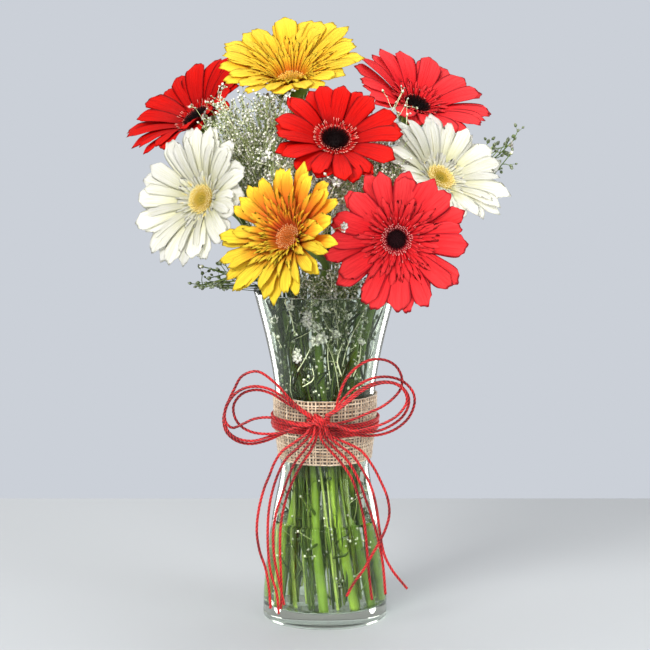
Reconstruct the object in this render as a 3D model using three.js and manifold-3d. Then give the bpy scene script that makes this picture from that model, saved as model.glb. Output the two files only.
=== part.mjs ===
// Gerberas in a flared glass vase of water, with filler sprays, a burlap band and a twine bow.
// Millimetres, +Z up, with the front facing -Y. The origin is the centre of the vase's underside.

import * as THREE from "three";
import { mergeVertices } from "three/addons/utils/BufferGeometryUtils.js";
import Module from "manifold-3d";

// Clearance that neighbouring pieces keep, and the sides of everything turned round the vase's axis
const GAP = 0.3;
const ROUND = 26;

// Vase: outer radius and height of its foot, body, waist, shoulder and rim
const VASE_RINGS = [
  [47, 3],
  [46, 27],
  [40.5, 74],
  [34.5, 105],
  [33.4, 120],
  [36.7, 151],
  [38.2, 181],
  [43.9, 212],
  [53.4, 250],
];
const VASE_RIM = 250;
const GLASS_WALL = 3;
const GLASS_FLOOR = 11;
const FOOT_CHAMFER = 2.5;

// Water
const WATER_LEVEL = 75;

// Burlap band and the twine wound round it
const BAND_LOW = 123;
const BAND_HIGH = 172;
const BURLAP = 1.3;
const TWINE = 2.2;
const WRAP_TURNS = 5;
const WRAP_LOW = 145;

// Bow: the knot's centre and half sizes, and how far apart the four strands lie from back to front
const KNOT = [-4.8, -45.7, 159];
const KNOT_HALF = [9.5, 6.2, 6.2];
const KNOT_VALLEY = 0.84;
const STRAND_PITCH = 2.6;
const LOOP_FAN = 0.5;
const LOOP_STEPS = 14;
const TAIL_PITCH = 1.7;
const TAIL_STEPS = 9;

// Gerberas
const STEM_RADIUS = 3.3;
const STEM_TWIST = 28;
const STEM_FOOT_RADIUS = 35;
const STEM_STEPS = 11;
const STEM_MIDDLE = 69;
const WAIST_HEIGHT = 122;
const STEM_BEND = 24;
const CUT_BELOW = 5;
const CALYX_HEIGHT = 15;
const CALYX_RADIUS = 13;
const PETALS = 12;
const PETAL_THICKNESS = 0.8;
const PETAL_ROOT = 10;
const PETAL_WIDTH = 13;
const DISC_BASE = 3.5;
const DISC_RADIUS = 10.2;
const DISC_SIDES = 10;

// Whorls of petals, outermost first: length as a share of the head's radius, change of cup in degrees,
// height of the roots, and the stations along a petal as shares of its length and of its width
const WHORLS = [
  {
    share: 1,
    cup: -2,
    base: 0,
    stations: [
      [0.34, 0.34],
      [0.78, 0.5],
    ],
  },
  {
    share: 0.95,
    cup: 3,
    base: 1.6,
    stations: [
      [0.34, 0.34],
      [0.78, 0.5],
    ],
  },
  {
    share: 0.5,
    cup: 11,
    base: 3.2,
    stations: [],
  },
];

// Each head: its centre, the way it faces (degrees right of the front, and above the horizon), radius,
// cup in degrees, where its stem stands in the waist (degrees and radius) and in the vase's mouth
const RED = 0xd5211c;
const ROSE = 0xd92a35;
const YELLOW = 0xf2c21f;
const GOLD = 0xefae25;
const WHITE = 0xf1f0e2;
const DARK_DISC = 0x3a1413;
const YELLOW_DISC = 0xd9b23c;
const AMBER_DISC = 0xc9772a;
const HEADS = {
  yellow_top: {
    at: [-25, 50.5, 398], facing: [-10, 62], radius: 55, cup: 22,
    waist: [127, 18], mouth: [-8, 38, 245], petal: YELLOW, disc: AMBER_DISC, seed: 11,
  },
  red_left: {
    at: [-95.5, 70, 368.5], facing: [-57, 51], radius: 51.5, cup: 20,
    waist: [180, 18], mouth: [-27, 31, 245], petal: RED, disc: DARK_DISC, seed: 12,
  },
  red_right: {
    at: [68, 68, 378], facing: [38, 57], radius: 52.5, cup: 20,
    waist: [72, 18], mouth: [22, 34, 245], petal: ROSE, disc: DARK_DISC, seed: 13,
  },
  red_centre: {
    at: [6.7, -31, 362.5], facing: [9, 47], radius: 48, cup: 16,
    waist: [307, 16], mouth: [2, 2, 245], petal: RED, disc: DARK_DISC, seed: 14,
  },
  white_left: {
    at: [-88, -5, 317.5], facing: [-41, 18], radius: 53, cup: 19,
    waist: [242, 18], mouth: [-36, 4, 245], petal: WHITE, disc: YELLOW_DISC, seed: 15,
  },
  white_right: {
    at: [83, -8, 331.5], facing: [37, 44], radius: 50.5, cup: 21,
    waist: [20, 18], mouth: [38, 6, 245], petal: WHITE, disc: YELLOW_DISC, seed: 16,
  },
  gold_front: {
    at: [-22.5, -84, 299], facing: [-40, 25], radius: 53.5, cup: 20,
    waist: [280, 19], mouth: [-6, -28, 245], petal: GOLD, disc: AMBER_DISC, seed: 17,
  },
  rose_front: {
    at: [51.5, -62, 297.5], facing: [0, -2], radius: 52, cup: 18,
    waist: [338, 19], mouth: [28, -16, 245], petal: ROSE, disc: DARK_DISC, seed: 18,
  },
};

// Filler sprays: where the stem stands in the waist (degrees), what it passes in the mouth and above it, and
// the middle and half sizes of the cloud of buds that it carries
const SPRAY_STEM = 1.3;
const SPRAY_STEPS = 9;
const SPRAY_WAIST_RADIUS = 25.5;
const SPRAY_FOOT_RADIUS = 29;
const TWIG = 0.55;
const BUD = 1.8;
const TWIGS_A_SPRAY = 6;
const SPRAYS = {
  spray_left: {
    waist: 202, mouth: [-38, 17, 245], over: [-41, 24, 305],
    cloud: [-52, 4, 368], half: [13, 14, 20], seed: 31,
  },
  spray_front: {
    waist: 261, mouth: [-22, -22, 245], over: [-30, -36, 295],
    cloud: [-20, -46, 341], half: [16, 10, 8], seed: 32,
  },
  spray_right: {
    waist: 322.5, mouth: [12, -12, 245], over: [30, -16, 305],
    cloud: [54, -28, 352], half: [13, 13, 12], seed: 33,
  },
  spray_right_reach: {
    waist: 359, mouth: [42, 14, 245], over: [84, 38, 308],
    cloud: [128, 20, 360], half: [18, 10, 8], seed: 34,
  },
  spray_left_reach: {
    waist: 223, mouth: [-36, -18, 245], over: [-56, -26, 268],
    cloud: [-84, -32, 263], half: [17, 9, 7], seed: 35,
  },
  spray_neck: {
    waist: 293.5, mouth: [8, -24, 200], over: [9, -33, 225],
    cloud: [8, -38, 248], half: [22, 8, 18], seed: 36,
  },
  spray_back: {
    waist: 98, mouth: [8, 40, 245], over: [16, 66, 300],
    cloud: [22, 92, 350], half: [24, 12, 20], seed: 37,
  },
  spray_back_left: {
    waist: 152, mouth: [-18, 40, 245], over: [-28, 66, 290],
    cloud: [-34, 96, 330], half: [22, 12, 20], seed: 38,
  },
};

const wasm = await Module();
wasm.setup();

function turn(degrees) {
  return (degrees * Math.PI) / 180;
}

// A repeatable run of numbers from 0 to 1
function dice(seed) {
  let state = seed;
  return () => {
    state = (state * 1664525 + 1013904223) % 4294967296;
    return state / 4294967296;
  };
}

function toSolid(geometry) {
  const bare = geometry.clone();
  bare.deleteAttribute("normal");
  bare.deleteAttribute("uv");
  const merged = mergeVertices(bare, 1e-4);
  return new wasm.Manifold(
    new wasm.Mesh({
      numProp: 3,
      vertProperties: new Float32Array(merged.attributes.position.array),
      triVerts: new Uint32Array(merged.index.array),
    }),
  );
}

function toGeometry(solid) {
  const made = solid.getMesh();
  const geometry = new THREE.BufferGeometry();
  geometry.setAttribute("position", new THREE.BufferAttribute(made.vertProperties, 3));
  geometry.setIndex(new THREE.BufferAttribute(made.triVerts, 1));
  return geometry;
}

function part(name, geometry, color, roughness = 0.6, more = {}) {
  const finish = new THREE.MeshStandardMaterial({ color, roughness, metalness: 0, ...more });
  const mesh = new THREE.Mesh(geometry, finish);
  mesh.name = name;
  return mesh;
}

// A solid turned round the Z axis from its outline of [radius, height]
function turned(outline, sides = ROUND) {
  const points = outline.map(([radius, height]) => new THREE.Vector2(radius, height));
  return new THREE.LatheGeometry(points, sides).rotateX(Math.PI / 2);
}

// A rod of even thickness with flat ends along a smooth route through the points
function rod(points, radius, sides, steps) {
  const section = new THREE.Shape();
  section.absarc(0, 0, radius, 0, 2 * Math.PI);
  const route = new THREE.CatmullRomCurve3(points.map((p) => new THREE.Vector3(...p)));
  return new THREE.ExtrudeGeometry(section, {
    steps,
    curveSegments: sides / 2,
    bevelEnabled: false,
    extrudePath: route,
  });
}

function onCircle(degrees, radius, height) {
  return [radius * Math.cos(turn(degrees)), radius * Math.sin(turn(degrees)), height];
}

// The vase's outer wall as one smooth line
const glassLine = new THREE.SplineCurve(VASE_RINGS.map(([r, z]) => new THREE.Vector2(r, z))).getPoints(9);

function glassRadius(height) {
  const next = glassLine.findIndex((p) => p.y >= height);
  const above = glassLine[Math.max(next, 1)];
  const below = glassLine[Math.max(next, 1) - 1];
  return THREE.MathUtils.mapLinear(height, below.y, above.y, below.x, above.x);
}

function vase() {
  const outside = glassLine.map((p) => [p.x, p.y]);
  const inside = outside
    .filter(([, height]) => height > GLASS_FLOOR + 1)
    .map(([radius, height]) => [radius - GLASS_WALL, height])
    .reverse();
  const floorRadius = glassRadius(GLASS_FLOOR) - GLASS_WALL - 1;
  return turned([
    [0, 0],
    [outside[0][0] - FOOT_CHAMFER, 0],
    ...outside,
    ...inside,
    [floorRadius, GLASS_FLOOR],
    [0, GLASS_FLOOR],
  ]);
}

// The water fills the glass up to its level, with a plain hole for each stem that stands in it
function water(stems) {
  const heights = glassLine.map((p) => p.y).filter((z) => z > GLASS_FLOOR + 1 && z < WATER_LEVEL);
  const side = [...heights, WATER_LEVEL].map((z) => [glassRadius(z) - GLASS_WALL - GAP, z]);
  const body = turned([
    [0, GLASS_FLOOR + GAP],
    [glassRadius(GLASS_FLOOR) - GLASS_WALL - 1 - 2 * GAP, GLASS_FLOOR + GAP],
    ...side,
    [0, WATER_LEVEL],
  ]);
  return toGeometry(stems.reduce((left, hole) => left.subtract(toSolid(hole)), toSolid(body)));
}

// The band follows the glass
function band() {
  const rows = 4;
  const step = (BAND_HIGH - BAND_LOW) / (rows - 1);
  const heights = Array.from({ length: rows }, (_, i) => BAND_LOW + step * i);
  const outline = [
    ...heights.map((z) => [glassRadius(z) + GAP + BURLAP, z]),
    ...heights.reverse().map((z) => [glassRadius(z) + GAP, z]),
  ];
  return turned([...outline, outline[0]]);
}

// The turns of twine lie close on each other, so they are one ring with a ridge for each turn
function wrap() {
  const face = 2 * GAP + BURLAP;
  const outline = [];
  for (let i = 0; i < WRAP_TURNS; i += 1) {
    const middle = WRAP_LOW + (i + 0.5) * TWINE;
    const valley = middle - TWINE / 2;
    outline.push([glassRadius(valley) + face + TWINE * 0.6, valley]);
    outline.push([glassRadius(middle) + face + TWINE, middle]);
  }
  const top = WRAP_LOW + WRAP_TURNS * TWINE;
  outline.push([glassRadius(top) + face + TWINE * 0.6, top]);
  outline.push([glassRadius(top) + face, top]);
  outline.push([glassRadius(WRAP_LOW) + face, WRAP_LOW]);
  return turned([...outline, outline[0]]);
}

// The knot is a short bundle lying along X, with a ridge for each strand that goes round it
function bundle(valley, grow) {
  const ridges = 5;
  const end = KNOT_HALF[0] + grow;
  const outline = [[0, -end]];
  for (let i = 0; i <= 2 * ridges; i += 1) {
    const along = (i / ridges - 1) * 0.94;
    const swell = 0.25 + 0.75 * Math.sqrt(1 - along * along);
    const ridge = i % 2 === 1 ? 1 : valley;
    outline.push([KNOT_HALF[2] * swell * ridge + grow, along * end]);
  }
  outline.push([0, end]);
  return turned(outline, 10).rotateY(Math.PI / 2).translate(...KNOT);
}

// The strands of the bow end at the knot, so what they run into of it is cut off them
function upToKnot(strand) {
  return toGeometry(toSolid(strand).subtract(toSolid(bundle(1, 1.2 * GAP))));
}

// Each strand of the bow lies in its own layer, which fans out a little away from the knot
function layer(strand, x) {
  const offset = (1.5 - strand) * STRAND_PITCH;
  return KNOT[1] + offset * (1 + (LOOP_FAN * Math.abs(x - KNOT[0])) / 60);
}

// Loops as [x, z] along each strand, from the knot round and back to it
const LOOP_ROUTES = {
  bow_loop_left_1: [0, [
    [-9.8, 162.5], [-17, 167], [-25, 174], [-38, 188], [-50, 195.5], [-61, 192], [-67, 182], [-72, 171],
    [-75, 160], [-73, 150], [-66, 143.5], [-56, 141], [-45, 143], [-31, 149], [-17, 156.5], [-9.8, 157],
  ]],
  bow_loop_left_2: [1, [
    [-9.8, 162.5], [-17, 167], [-28, 175], [-41, 183], [-53, 185], [-64, 181], [-71, 173], [-74, 163],
    [-72, 152], [-65, 146], [-54, 144], [-39, 148], [-17, 156.5], [-9.8, 157],
  ]],
  bow_loop_left_3: [2, [
    [-9.8, 162.5], [-17, 167], [-28, 173], [-40, 180.5], [-51, 183], [-61, 180], [-67, 172],
    [-66.5, 163], [-62, 156], [-54, 151.5], [-44, 150], [-32, 151], [-17, 156.5], [-9.8, 157],
  ]],
  bow_loop_left_4: [3, [
    [-9.8, 162.5], [-17, 167], [-30, 178], [-45, 185.5], [-59, 185], [-69, 178], [-73.5, 168],
    [-72.5, 159], [-68, 155.5], [-61, 158], [-52, 162], [-41, 163], [-29, 160], [-17, 156.5],
    [-9.8, 157],
  ]],
  bow_loop_right_1: [0, [
    [0.2, 162.5], [7.4, 167], [10, 176], [15, 189], [23, 198.5], [33, 204], [44, 204], [52, 199.5],
    [56.5, 191], [56, 183], [51, 176], [42, 169], [31, 164], [19, 159], [7.4, 156.5], [0.2, 157],
  ]],
  bow_loop_right_2: [1, [
    [0.2, 162.5], [7.4, 167], [13, 175], [23, 185], [35, 191], [47, 192], [57.5, 188.5], [64.5, 181],
    [66, 173], [62, 162], [53, 153.5], [42, 149], [29, 148], [17, 150], [7.4, 156.5], [0.2, 157],
  ]],
  bow_loop_right_3: [2, [
    [0.2, 162.5], [7.4, 167], [15, 174], [25, 182.5], [36, 188], [47, 189], [55.5, 186], [61, 179],
    [61.5, 172], [57, 163], [48, 156], [38, 152], [25, 151], [7.4, 156.5], [0.2, 157],
  ]],
  bow_loop_right_4: [3, [
    [0.2, 162.5], [7.4, 167], [17, 174.5], [30, 184.5], [43, 189], [52, 188], [58.5, 182.5], [60, 175],
    [54, 165.5], [45, 159.5], [34, 155.5], [20, 153], [7.4, 156.5], [0.2, 157],
  ]],
};

// Tails as [x, z] below the knot, with the depth at which each hangs clear of the glass, from left to right
const TAIL_ROUTES = {
  bow_tail_left_1: [-49, [
    [-14, 150], [-22, 144], [-32, 136.5], [-37.5, 128], [-41, 119], [-45, 109], [-49, 93], [-50.5, 77],
    [-48.5, 62], [-44, 48], [-41.5, 32], [-40.5, 18],
  ]],
  bow_tail_left_2: [-46, [
    [-11.7, 148], [-19.5, 139.5], [-28.5, 131], [-34, 121], [-38.5, 108], [-41.5, 93], [-42.5, 76],
    [-42, 58], [-40, 43], [-36, 29], [-34.5, 13],
  ]],
  bow_tail_left_3: [-43, [
    [-9, 147], [-14.5, 138.5], [-21, 130], [-26, 120], [-31.5, 104], [-36, 90], [-38.5, 73],
    [-37.5, 54], [-34, 36], [-30.5, 19],
  ]],
  bow_tail_left_4: [-40, [
    [-6.6, 146], [-11, 136], [-18, 125], [-24, 113], [-29, 99], [-32.5, 82], [-33.5, 64], [-33, 45],
    [-32.5, 29], [-33, 15],
  ]],
  bow_tail_right_4: [-43, [
    [-2.8, 146], [3, 138], [11, 129], [19, 117], [25, 101], [29, 83], [31, 64], [32.5, 45], [35, 23],
  ]],
  bow_tail_right_3: [-46, [
    [-0.2, 147], [7, 139], [16, 130], [24, 117], [29.5, 102], [35, 86], [39.5, 70], [43, 51], [45, 28],
  ]],
  bow_tail_right_2: [-49, [
    [2.3, 148.5], [10.5, 141.5], [20.5, 133.5], [28, 122.5], [34.5, 109], [38, 95], [40.5, 77],
    [44, 59], [50, 47], [61, 33],
  ]],
  bow_tail_right_1: [-52, [
    [3.6, 148.6], [12.9, 144], [26, 137.5], [34.5, 127], [41, 115], [46, 103], [47.5, 91], [45, 80],
    [40.5, 70], [35, 60], [29, 49], [21, 37.5], [16, 28],
  ]],
};

function bowLoop([strand, places]) {
  return upToKnot(rod(places.map(([x, z]) => [x, layer(strand, x), z]), TWINE / 2, 8, LOOP_STEPS));
}

// Tails leave the knot side by side in two rows, and each settles at its own depth as it falls
function bowTail([depth, places], index) {
  const count = Object.keys(TAIL_ROUTES).length;
  const startX = KNOT[0] + (index - (count - 1) / 2) * TAIL_PITCH;
  const startY = KNOT[1] + (index % 2 === 0 ? -1 : 1) * TAIL_PITCH * 0.8;
  const fall = places[0][1] - 100;
  const settled = (z) => Math.min(1, (places[0][1] - z) / fall);
  const route = places.map(([x, z]) => [x, startY + (depth - startY) * settled(z), z]);
  return upToKnot(rod([[startX, startY, KNOT[2] - 3], ...route], TWINE / 2, 8, TAIL_STEPS));
}

// The direction that a head faces, and its placement with Z along that direction and X level
function facing([azimuth, elevation]) {
  const level = Math.cos(turn(elevation));
  return new THREE.Vector3(
    Math.sin(turn(azimuth)) * level, -Math.cos(turn(azimuth)) * level, Math.sin(turn(elevation)),
  );
}

function headPlace(head) {
  const out = facing(head.facing);
  const across = new THREE.Vector3(0, 0, 1).cross(out).normalize();
  const up = out.clone().cross(across);
  return new THREE.Matrix4().makeBasis(across, up, out).setPosition(...head.at);
}

// All petals of a head as one closed skin: each whorl is a ring of petals with top and bottom faces, and a
// short wall joins the roots of one whorl to the next
function petals(head) {
  const random = dice(head.seed);
  const pitch = (2 * Math.PI) / PETALS;
  const positions = [];
  const faces = [];
  const add = (radius, angle, height) => {
    positions.push(radius * Math.cos(angle), radius * Math.sin(angle), height);
    return positions.length / 3 - 1;
  };
  const pair = (radius, angle, height) => ({
    top: add(radius, angle, height),
    low: add(radius, angle, height - PETAL_THICKNESS),
  });
  const skin = (a, b, c) => faces.push(a.top, b.top, c.top, a.low, c.low, b.low);
  const edge = (a, b) => faces.push(a.top, a.low, b.low, a.top, b.low, b.top);
  const rings = WHORLS.map((whorl, k) => {
    const shift = (k % 2) / 2;
    const cup = turn(head.cup + whorl.cup);
    const reach = head.radius * whorl.share;
    const rise = reach * Math.tan(cup) - whorl.base;
    const roots = Array.from({ length: PETALS }, (_, i) =>
      pair(PETAL_ROOT, (i + shift - 0.5) * pitch, whorl.base),
    );
    roots.forEach((root, i) => {
      const angle = (i + shift) * pitch;
      const length = reach * Math.cos(cup / 2) * (0.97 + 0.06 * random());
      const lift = 2.4 * (random() - 0.5);
      const tilt = 1.6 * (random() - 0.5);
      const sway = 0.05 * (random() - 0.5);
      const place = (share, side) => {
        const radius = PETAL_ROOT + share * (length - PETAL_ROOT);
        const spread = Math.atan2(side * PETAL_WIDTH, radius);
        const height = whorl.base + rise * (1 - (1 - share) ** 2) + lift * share ** 2 + tilt * side * 2;
        return pair(radius, angle + spread + sway * share, height);
      };
      const first = whorl.stations.map(([share, side]) => place(share, -side));
      const second = whorl.stations.map(([share, side]) => place(share, side));
      const tip = place(1, 0);
      const right = [root, ...first];
      const left = [roots[(i + 1) % PETALS], ...second];
      right.slice(1).forEach((corner, j) => {
        skin(right[j], corner, left[j + 1]);
        skin(right[j], left[j + 1], left[j]);
        edge(right[j], corner);
        edge(left[j + 1], left[j]);
      });
      skin(right.at(-1), tip, left.at(-1));
      edge(right.at(-1), tip);
      edge(tip, left.at(-1));
    });
    return { roots, shift };
  });
  const floor = add(0, 0, -PETAL_THICKNESS);
  const crown = add(0, 0, WHORLS.at(-1).base);
  for (let i = 0; i < PETALS; i += 1) {
    const j = (i + 1) % PETALS;
    faces.push(floor, rings[0].roots[j].low, rings[0].roots[i].low);
    faces.push(crown, rings.at(-1).roots[i].top, rings.at(-1).roots[j].top);
    for (let k = 0; k + 1 < rings.length; k += 1) {
      const under = rings[k];
      const over = rings[k + 1];
      const ahead = over.shift > under.shift ? 0 : 1;
      const near = over.roots[(i + ahead) % PETALS];
      const far = over.roots[(i + ahead + 1) % PETALS];
      faces.push(under.roots[i].top, under.roots[j].top, near.low);
      faces.push(under.roots[j].top, far.low, near.low);
    }
  }
  const geometry = new THREE.BufferGeometry();
  geometry.setAttribute("position", new THREE.Float32BufferAttribute(positions, 3));
  geometry.setIndex(faces);
  return geometry.applyMatrix4(headPlace(head));
}

// The disc of florets is a low dome with a dip, ridged all round by the florets
function disc(head) {
  const wide = DISC_RADIUS;
  const dome = turned([
    [0, DISC_BASE], [0.86 * wide, DISC_BASE], [wide, DISC_BASE + 2.4], [0.8 * wide, DISC_BASE + 4.2],
    [0.4 * wide, DISC_BASE + 4.2], [0, DISC_BASE + 3.4],
  ], DISC_SIDES);
  const place = dome.attributes.position;
  for (let i = 0; i < place.count; i += 1) {
    const angle = Math.atan2(place.getY(i), place.getX(i));
    const ridged = place.getZ(i) > DISC_BASE + 2 && Math.hypot(place.getX(i), place.getY(i)) > 1;
    const ridge = ridged ? 0.4 * Math.cos((DISC_SIDES / 2) * angle) : 0;
    place.setZ(i, place.getZ(i) + ridge);
  }
  return dome.applyMatrix4(headPlace(head));
}

// A stem's route: foot, waist, mouth, and a bend up to the back of its head. It starts below the floor,
// where it is cut off level.
function stemRoute(head) {
  const [waistAngle, waistRadius] = head.waist;
  const out = facing(head.facing);
  const back = (distance) => out.clone().multiplyScalar(-distance).add(new THREE.Vector3(...head.at));
  const bend = back(CALYX_HEIGHT + STEM_BEND);
  return [
    onCircle(waistAngle + STEM_TWIST, STEM_FOOT_RADIUS, GLASS_FLOOR - CUT_BELOW),
    onCircle(waistAngle + STEM_TWIST / 2, (STEM_FOOT_RADIUS + waistRadius) / 2, STEM_MIDDLE),
    onCircle(waistAngle, waistRadius, WAIST_HEIGHT),
    head.mouth,
    [bend.x, bend.y, bend.z - 4],
    back(CALYX_HEIGHT - 3).toArray(),
  ];
}

// A stem is cut off level just above the floor of the glass
function cutLevel(solid) {
  const under = new THREE.BoxGeometry(200, 200, 40).translate(0, 0, GLASS_FLOOR + GAP - 20);
  return solid.subtract(toSolid(under));
}

function stem(head) {
  const top = -PETAL_THICKNESS - GAP;
  const calyx = turned([
    [0, -CALYX_HEIGHT], [STEM_RADIUS + 1, -CALYX_HEIGHT], [CALYX_RADIUS - 0.5, -CALYX_HEIGHT / 3],
    [CALYX_RADIUS, top], [0, top],
  ], 8).applyMatrix4(headPlace(head));
  const stalk = cutLevel(toSolid(rod(stemRoute(head), STEM_RADIUS, 6, STEM_STEPS)));
  return toGeometry(stalk.add(toSolid(calyx)));
}

// Whether a point lies in a head, or close in front of its face
function insideHead(point, head) {
  const local = new THREE.Vector3(...point).applyMatrix4(headPlace(head).invert());
  const out = Math.hypot(local.x, local.y);
  const share = Math.min(out / head.radius, 1);
  const bowl = head.radius * Math.tan(turn(head.cup)) * (1 - (1 - share) ** 2);
  const under = out < 16 ? CALYX_HEIGHT + 4 : 7;
  return out < head.radius + 2 && local.z > bowl - under && local.z < bowl + 26;
}

// What already stands in the vase, as straight stretches of [start, end, radius, owner]
const standing = [];

function stand(line, radius, owner) {
  line.slice(1).forEach((end, i) => standing.push([line[i], end, radius, owner]));
}

function isFree(a, b, radius, owner) {
  const samples = 7;
  for (let i = 0; i <= samples; i += 1) {
    const spot = a.clone().lerp(b, i / samples);
    const out = Math.hypot(spot.x, spot.y);
    if (spot.z < VASE_RIM + 4 && out > glassRadius(Math.min(spot.z, VASE_RIM)) - GLASS_WALL - 1 - radius) {
      return false;
    }
    if (Object.values(HEADS).some((head) => insideHead(spot.toArray(), head))) return false;
    const hit = standing.some(([start, end, thick, other]) => {
      if (other === owner) return false;
      const near = new THREE.Line3(start, end).closestPointToPoint(spot, true, new THREE.Vector3());
      return near.distanceTo(spot) < thick + radius + 2 * GAP;
    });
    if (hit) return false;
  }
  return true;
}

// A slender closed body with three sides, straight between the points, of the radii given at them
function slender(points, radii) {
  const positions = [];
  const faces = [];
  const last = points.length - 1;
  const whole = points[last].clone().sub(points[0]);
  const side = new THREE.Vector3(-whole.y, whole.x, 0).normalize();
  points.forEach((point, i) => {
    const along = points[Math.min(i + 1, last)].clone().sub(points[Math.max(i - 1, 0)]).normalize();
    const u = side.clone().cross(along).normalize();
    const v = along.clone().cross(u);
    for (let k = 0; k < 3; k += 1) {
      const angle = (2 * Math.PI * k) / 3;
      const corner = point.clone();
      corner.addScaledVector(u, radii[i] * Math.cos(angle)).addScaledVector(v, radii[i] * Math.sin(angle));
      positions.push(corner.x, corner.y, corner.z);
      const a = 3 * i + k;
      const b = 3 * i + ((k + 1) % 3);
      if (i < last) faces.push(a, b, b + 3, a, b + 3, a + 3);
    }
  });
  faces.push(0, 2, 1, 3 * last, 3 * last + 1, 3 * last + 2);
  const geometry = new THREE.BufferGeometry();
  geometry.setAttribute("position", new THREE.Float32BufferAttribute(positions, 3));
  geometry.setIndex(faces);
  return geometry;
}

// A spray's stem as evenly spaced points from its foot to its tip
function sprayLine({ waist, mouth, over, cloud }) {
  const route = [
    onCircle(waist + STEM_TWIST, SPRAY_FOOT_RADIUS, GLASS_FLOOR - CUT_BELOW),
    onCircle(waist + STEM_TWIST / 2, (SPRAY_FOOT_RADIUS + SPRAY_WAIST_RADIUS) / 2, STEM_MIDDLE),
    onCircle(waist, SPRAY_WAIST_RADIUS, WAIST_HEIGHT),
    mouth,
    over,
    cloud,
  ];
  return new THREE.CatmullRomCurve3(route.map((p) => new THREE.Vector3(...p))).getSpacedPoints(SPRAY_STEPS);
}

function sprayRadii(extra) {
  const share = (i) => 1 - (0.5 * i) / SPRAY_STEPS;
  return Array.from({ length: SPRAY_STEPS + 1 }, (_, i) => SPRAY_STEM * share(i) + extra);
}

// A twig from its start over an elbow to the bud at its tip
function twig(start, elbow, tip) {
  const at = (distance) => tip.clone().addScaledVector(elbow.clone().sub(tip).normalize(), distance);
  return slender([start, elbow, at(2.2 * BUD), at(BUD), tip], [TWIG * 1.3, TWIG, TWIG, BUD, TWIG]);
}

// A spray: one stem, and twigs that leave it in turn towards the cloud
function spray(name, item) {
  const { cloud, half, seed } = item;
  const random = dice(seed);
  const knees = sprayLine(item);
  let whole = cutLevel(toSolid(slender(knees, sprayRadii(0))));
  let made = 0;
  for (let tries = 0; tries < 1500 && made < TWIGS_A_SPRAY; tries += 1) {
    const tip = new THREE.Vector3(...cloud.map((value, i) => value + half[i] * (2 * random() - 1)));
    const along = SPRAY_STEPS - 0.4 - (2.4 * made) / TWIGS_A_SPRAY;
    const knee = Math.floor(along);
    const start = knees[knee].clone().lerp(knees[knee + 1], along - knee);
    const elbow = start.clone().lerp(tip, 0.5);
    elbow.z -= 2 + 3 * random();
    const long = start.distanceTo(tip) > 6 * BUD;
    const clear = long && isFree(start, elbow, TWIG, name) && isFree(elbow, tip, BUD, name);
    if (!clear) continue;
    whole = whole.add(toSolid(twig(start, elbow, tip)));
    stand([start, elbow], TWIG, `${name} twig`);
    stand([elbow, tip], BUD, `${name} twig`);
    made += 1;
  }
  return toGeometry(whole);
}

const root = new THREE.Group();
const vessel = new THREE.Group();
const flowers = new THREE.Group();
const bow = new THREE.Group();
root.add(vessel, flowers, bow);

const stemLine = (head) => new THREE.CatmullRomCurve3(stemRoute(head).map((p) => new THREE.Vector3(...p)));
Object.entries(HEADS).forEach(([name, head]) => stand(stemLine(head).getSpacedPoints(40), STEM_RADIUS, name));
Object.entries(SPRAYS).forEach(([name, item]) => stand(sprayLine(item), SPRAY_STEM, name));

vessel.add(part("vase", vase(), 0xdfeaea, 0.05, { transparent: true, opacity: 0.35 }));
const holes = [
  ...Object.values(HEADS).map((head) => rod(stemRoute(head), STEM_RADIUS + 1.2 * GAP, 6, STEM_STEPS)),
  ...Object.values(SPRAYS).map((item) => slender(sprayLine(item), sprayRadii(2.2 * GAP))),
];
vessel.add(part("water", water(holes), 0xd5e4e4, 0.02, { transparent: true, opacity: 0.4 }));
vessel.add(part("burlap_band", band(), 0xb9a184, 0.95));

for (const [name, head] of Object.entries(HEADS)) {
  flowers.add(part(`${name}_stem`, stem(head), 0x6f9a35, 0.6));
  flowers.add(part(`${name}_petals`, petals(head), head.petal, 0.7));
  flowers.add(part(`${name}_disc`, disc(head), head.disc, 0.9));
}
for (const [name, item] of Object.entries(SPRAYS)) {
  flowers.add(part(name, spray(name, item), 0x8fa27c, 0.8));
}

bow.add(part("twine_wrap", wrap(), 0xb3202a, 0.9));
bow.add(part("bow_knot", bundle(KNOT_VALLEY, 0), 0xb3202a, 0.9));
for (const [name, route] of Object.entries(LOOP_ROUTES)) bow.add(part(name, bowLoop(route), 0xb3202a, 0.9));
Object.entries(TAIL_ROUTES).forEach(([name, route], i) => {
  bow.add(part(name, bowTail(route, i), 0xb3202a, 0.9));
});

export default root;
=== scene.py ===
# Gerberas in a flared glass vase of water, with sprays of filler, a burlap band and a twine bow.
# Sizes are in millimetres and become metres where a mesh is made. +Z is up and the front faces -Y.

import math
from collections import namedtuple

import bpy
import numpy as np
from mathutils import Matrix, Vector
from mathutils.bvhtree import BVHTree


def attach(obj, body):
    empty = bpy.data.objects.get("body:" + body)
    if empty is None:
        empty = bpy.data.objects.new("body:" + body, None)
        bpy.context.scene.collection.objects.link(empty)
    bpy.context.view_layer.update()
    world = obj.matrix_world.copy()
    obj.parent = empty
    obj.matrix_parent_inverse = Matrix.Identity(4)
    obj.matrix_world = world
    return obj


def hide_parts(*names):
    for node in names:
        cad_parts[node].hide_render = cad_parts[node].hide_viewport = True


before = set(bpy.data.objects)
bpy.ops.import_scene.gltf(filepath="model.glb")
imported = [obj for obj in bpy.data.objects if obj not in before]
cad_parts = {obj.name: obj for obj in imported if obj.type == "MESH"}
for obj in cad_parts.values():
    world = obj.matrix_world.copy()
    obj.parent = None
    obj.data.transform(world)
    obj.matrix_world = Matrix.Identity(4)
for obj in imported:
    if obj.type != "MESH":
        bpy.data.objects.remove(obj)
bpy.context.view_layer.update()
scene = bpy.context.scene

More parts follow.
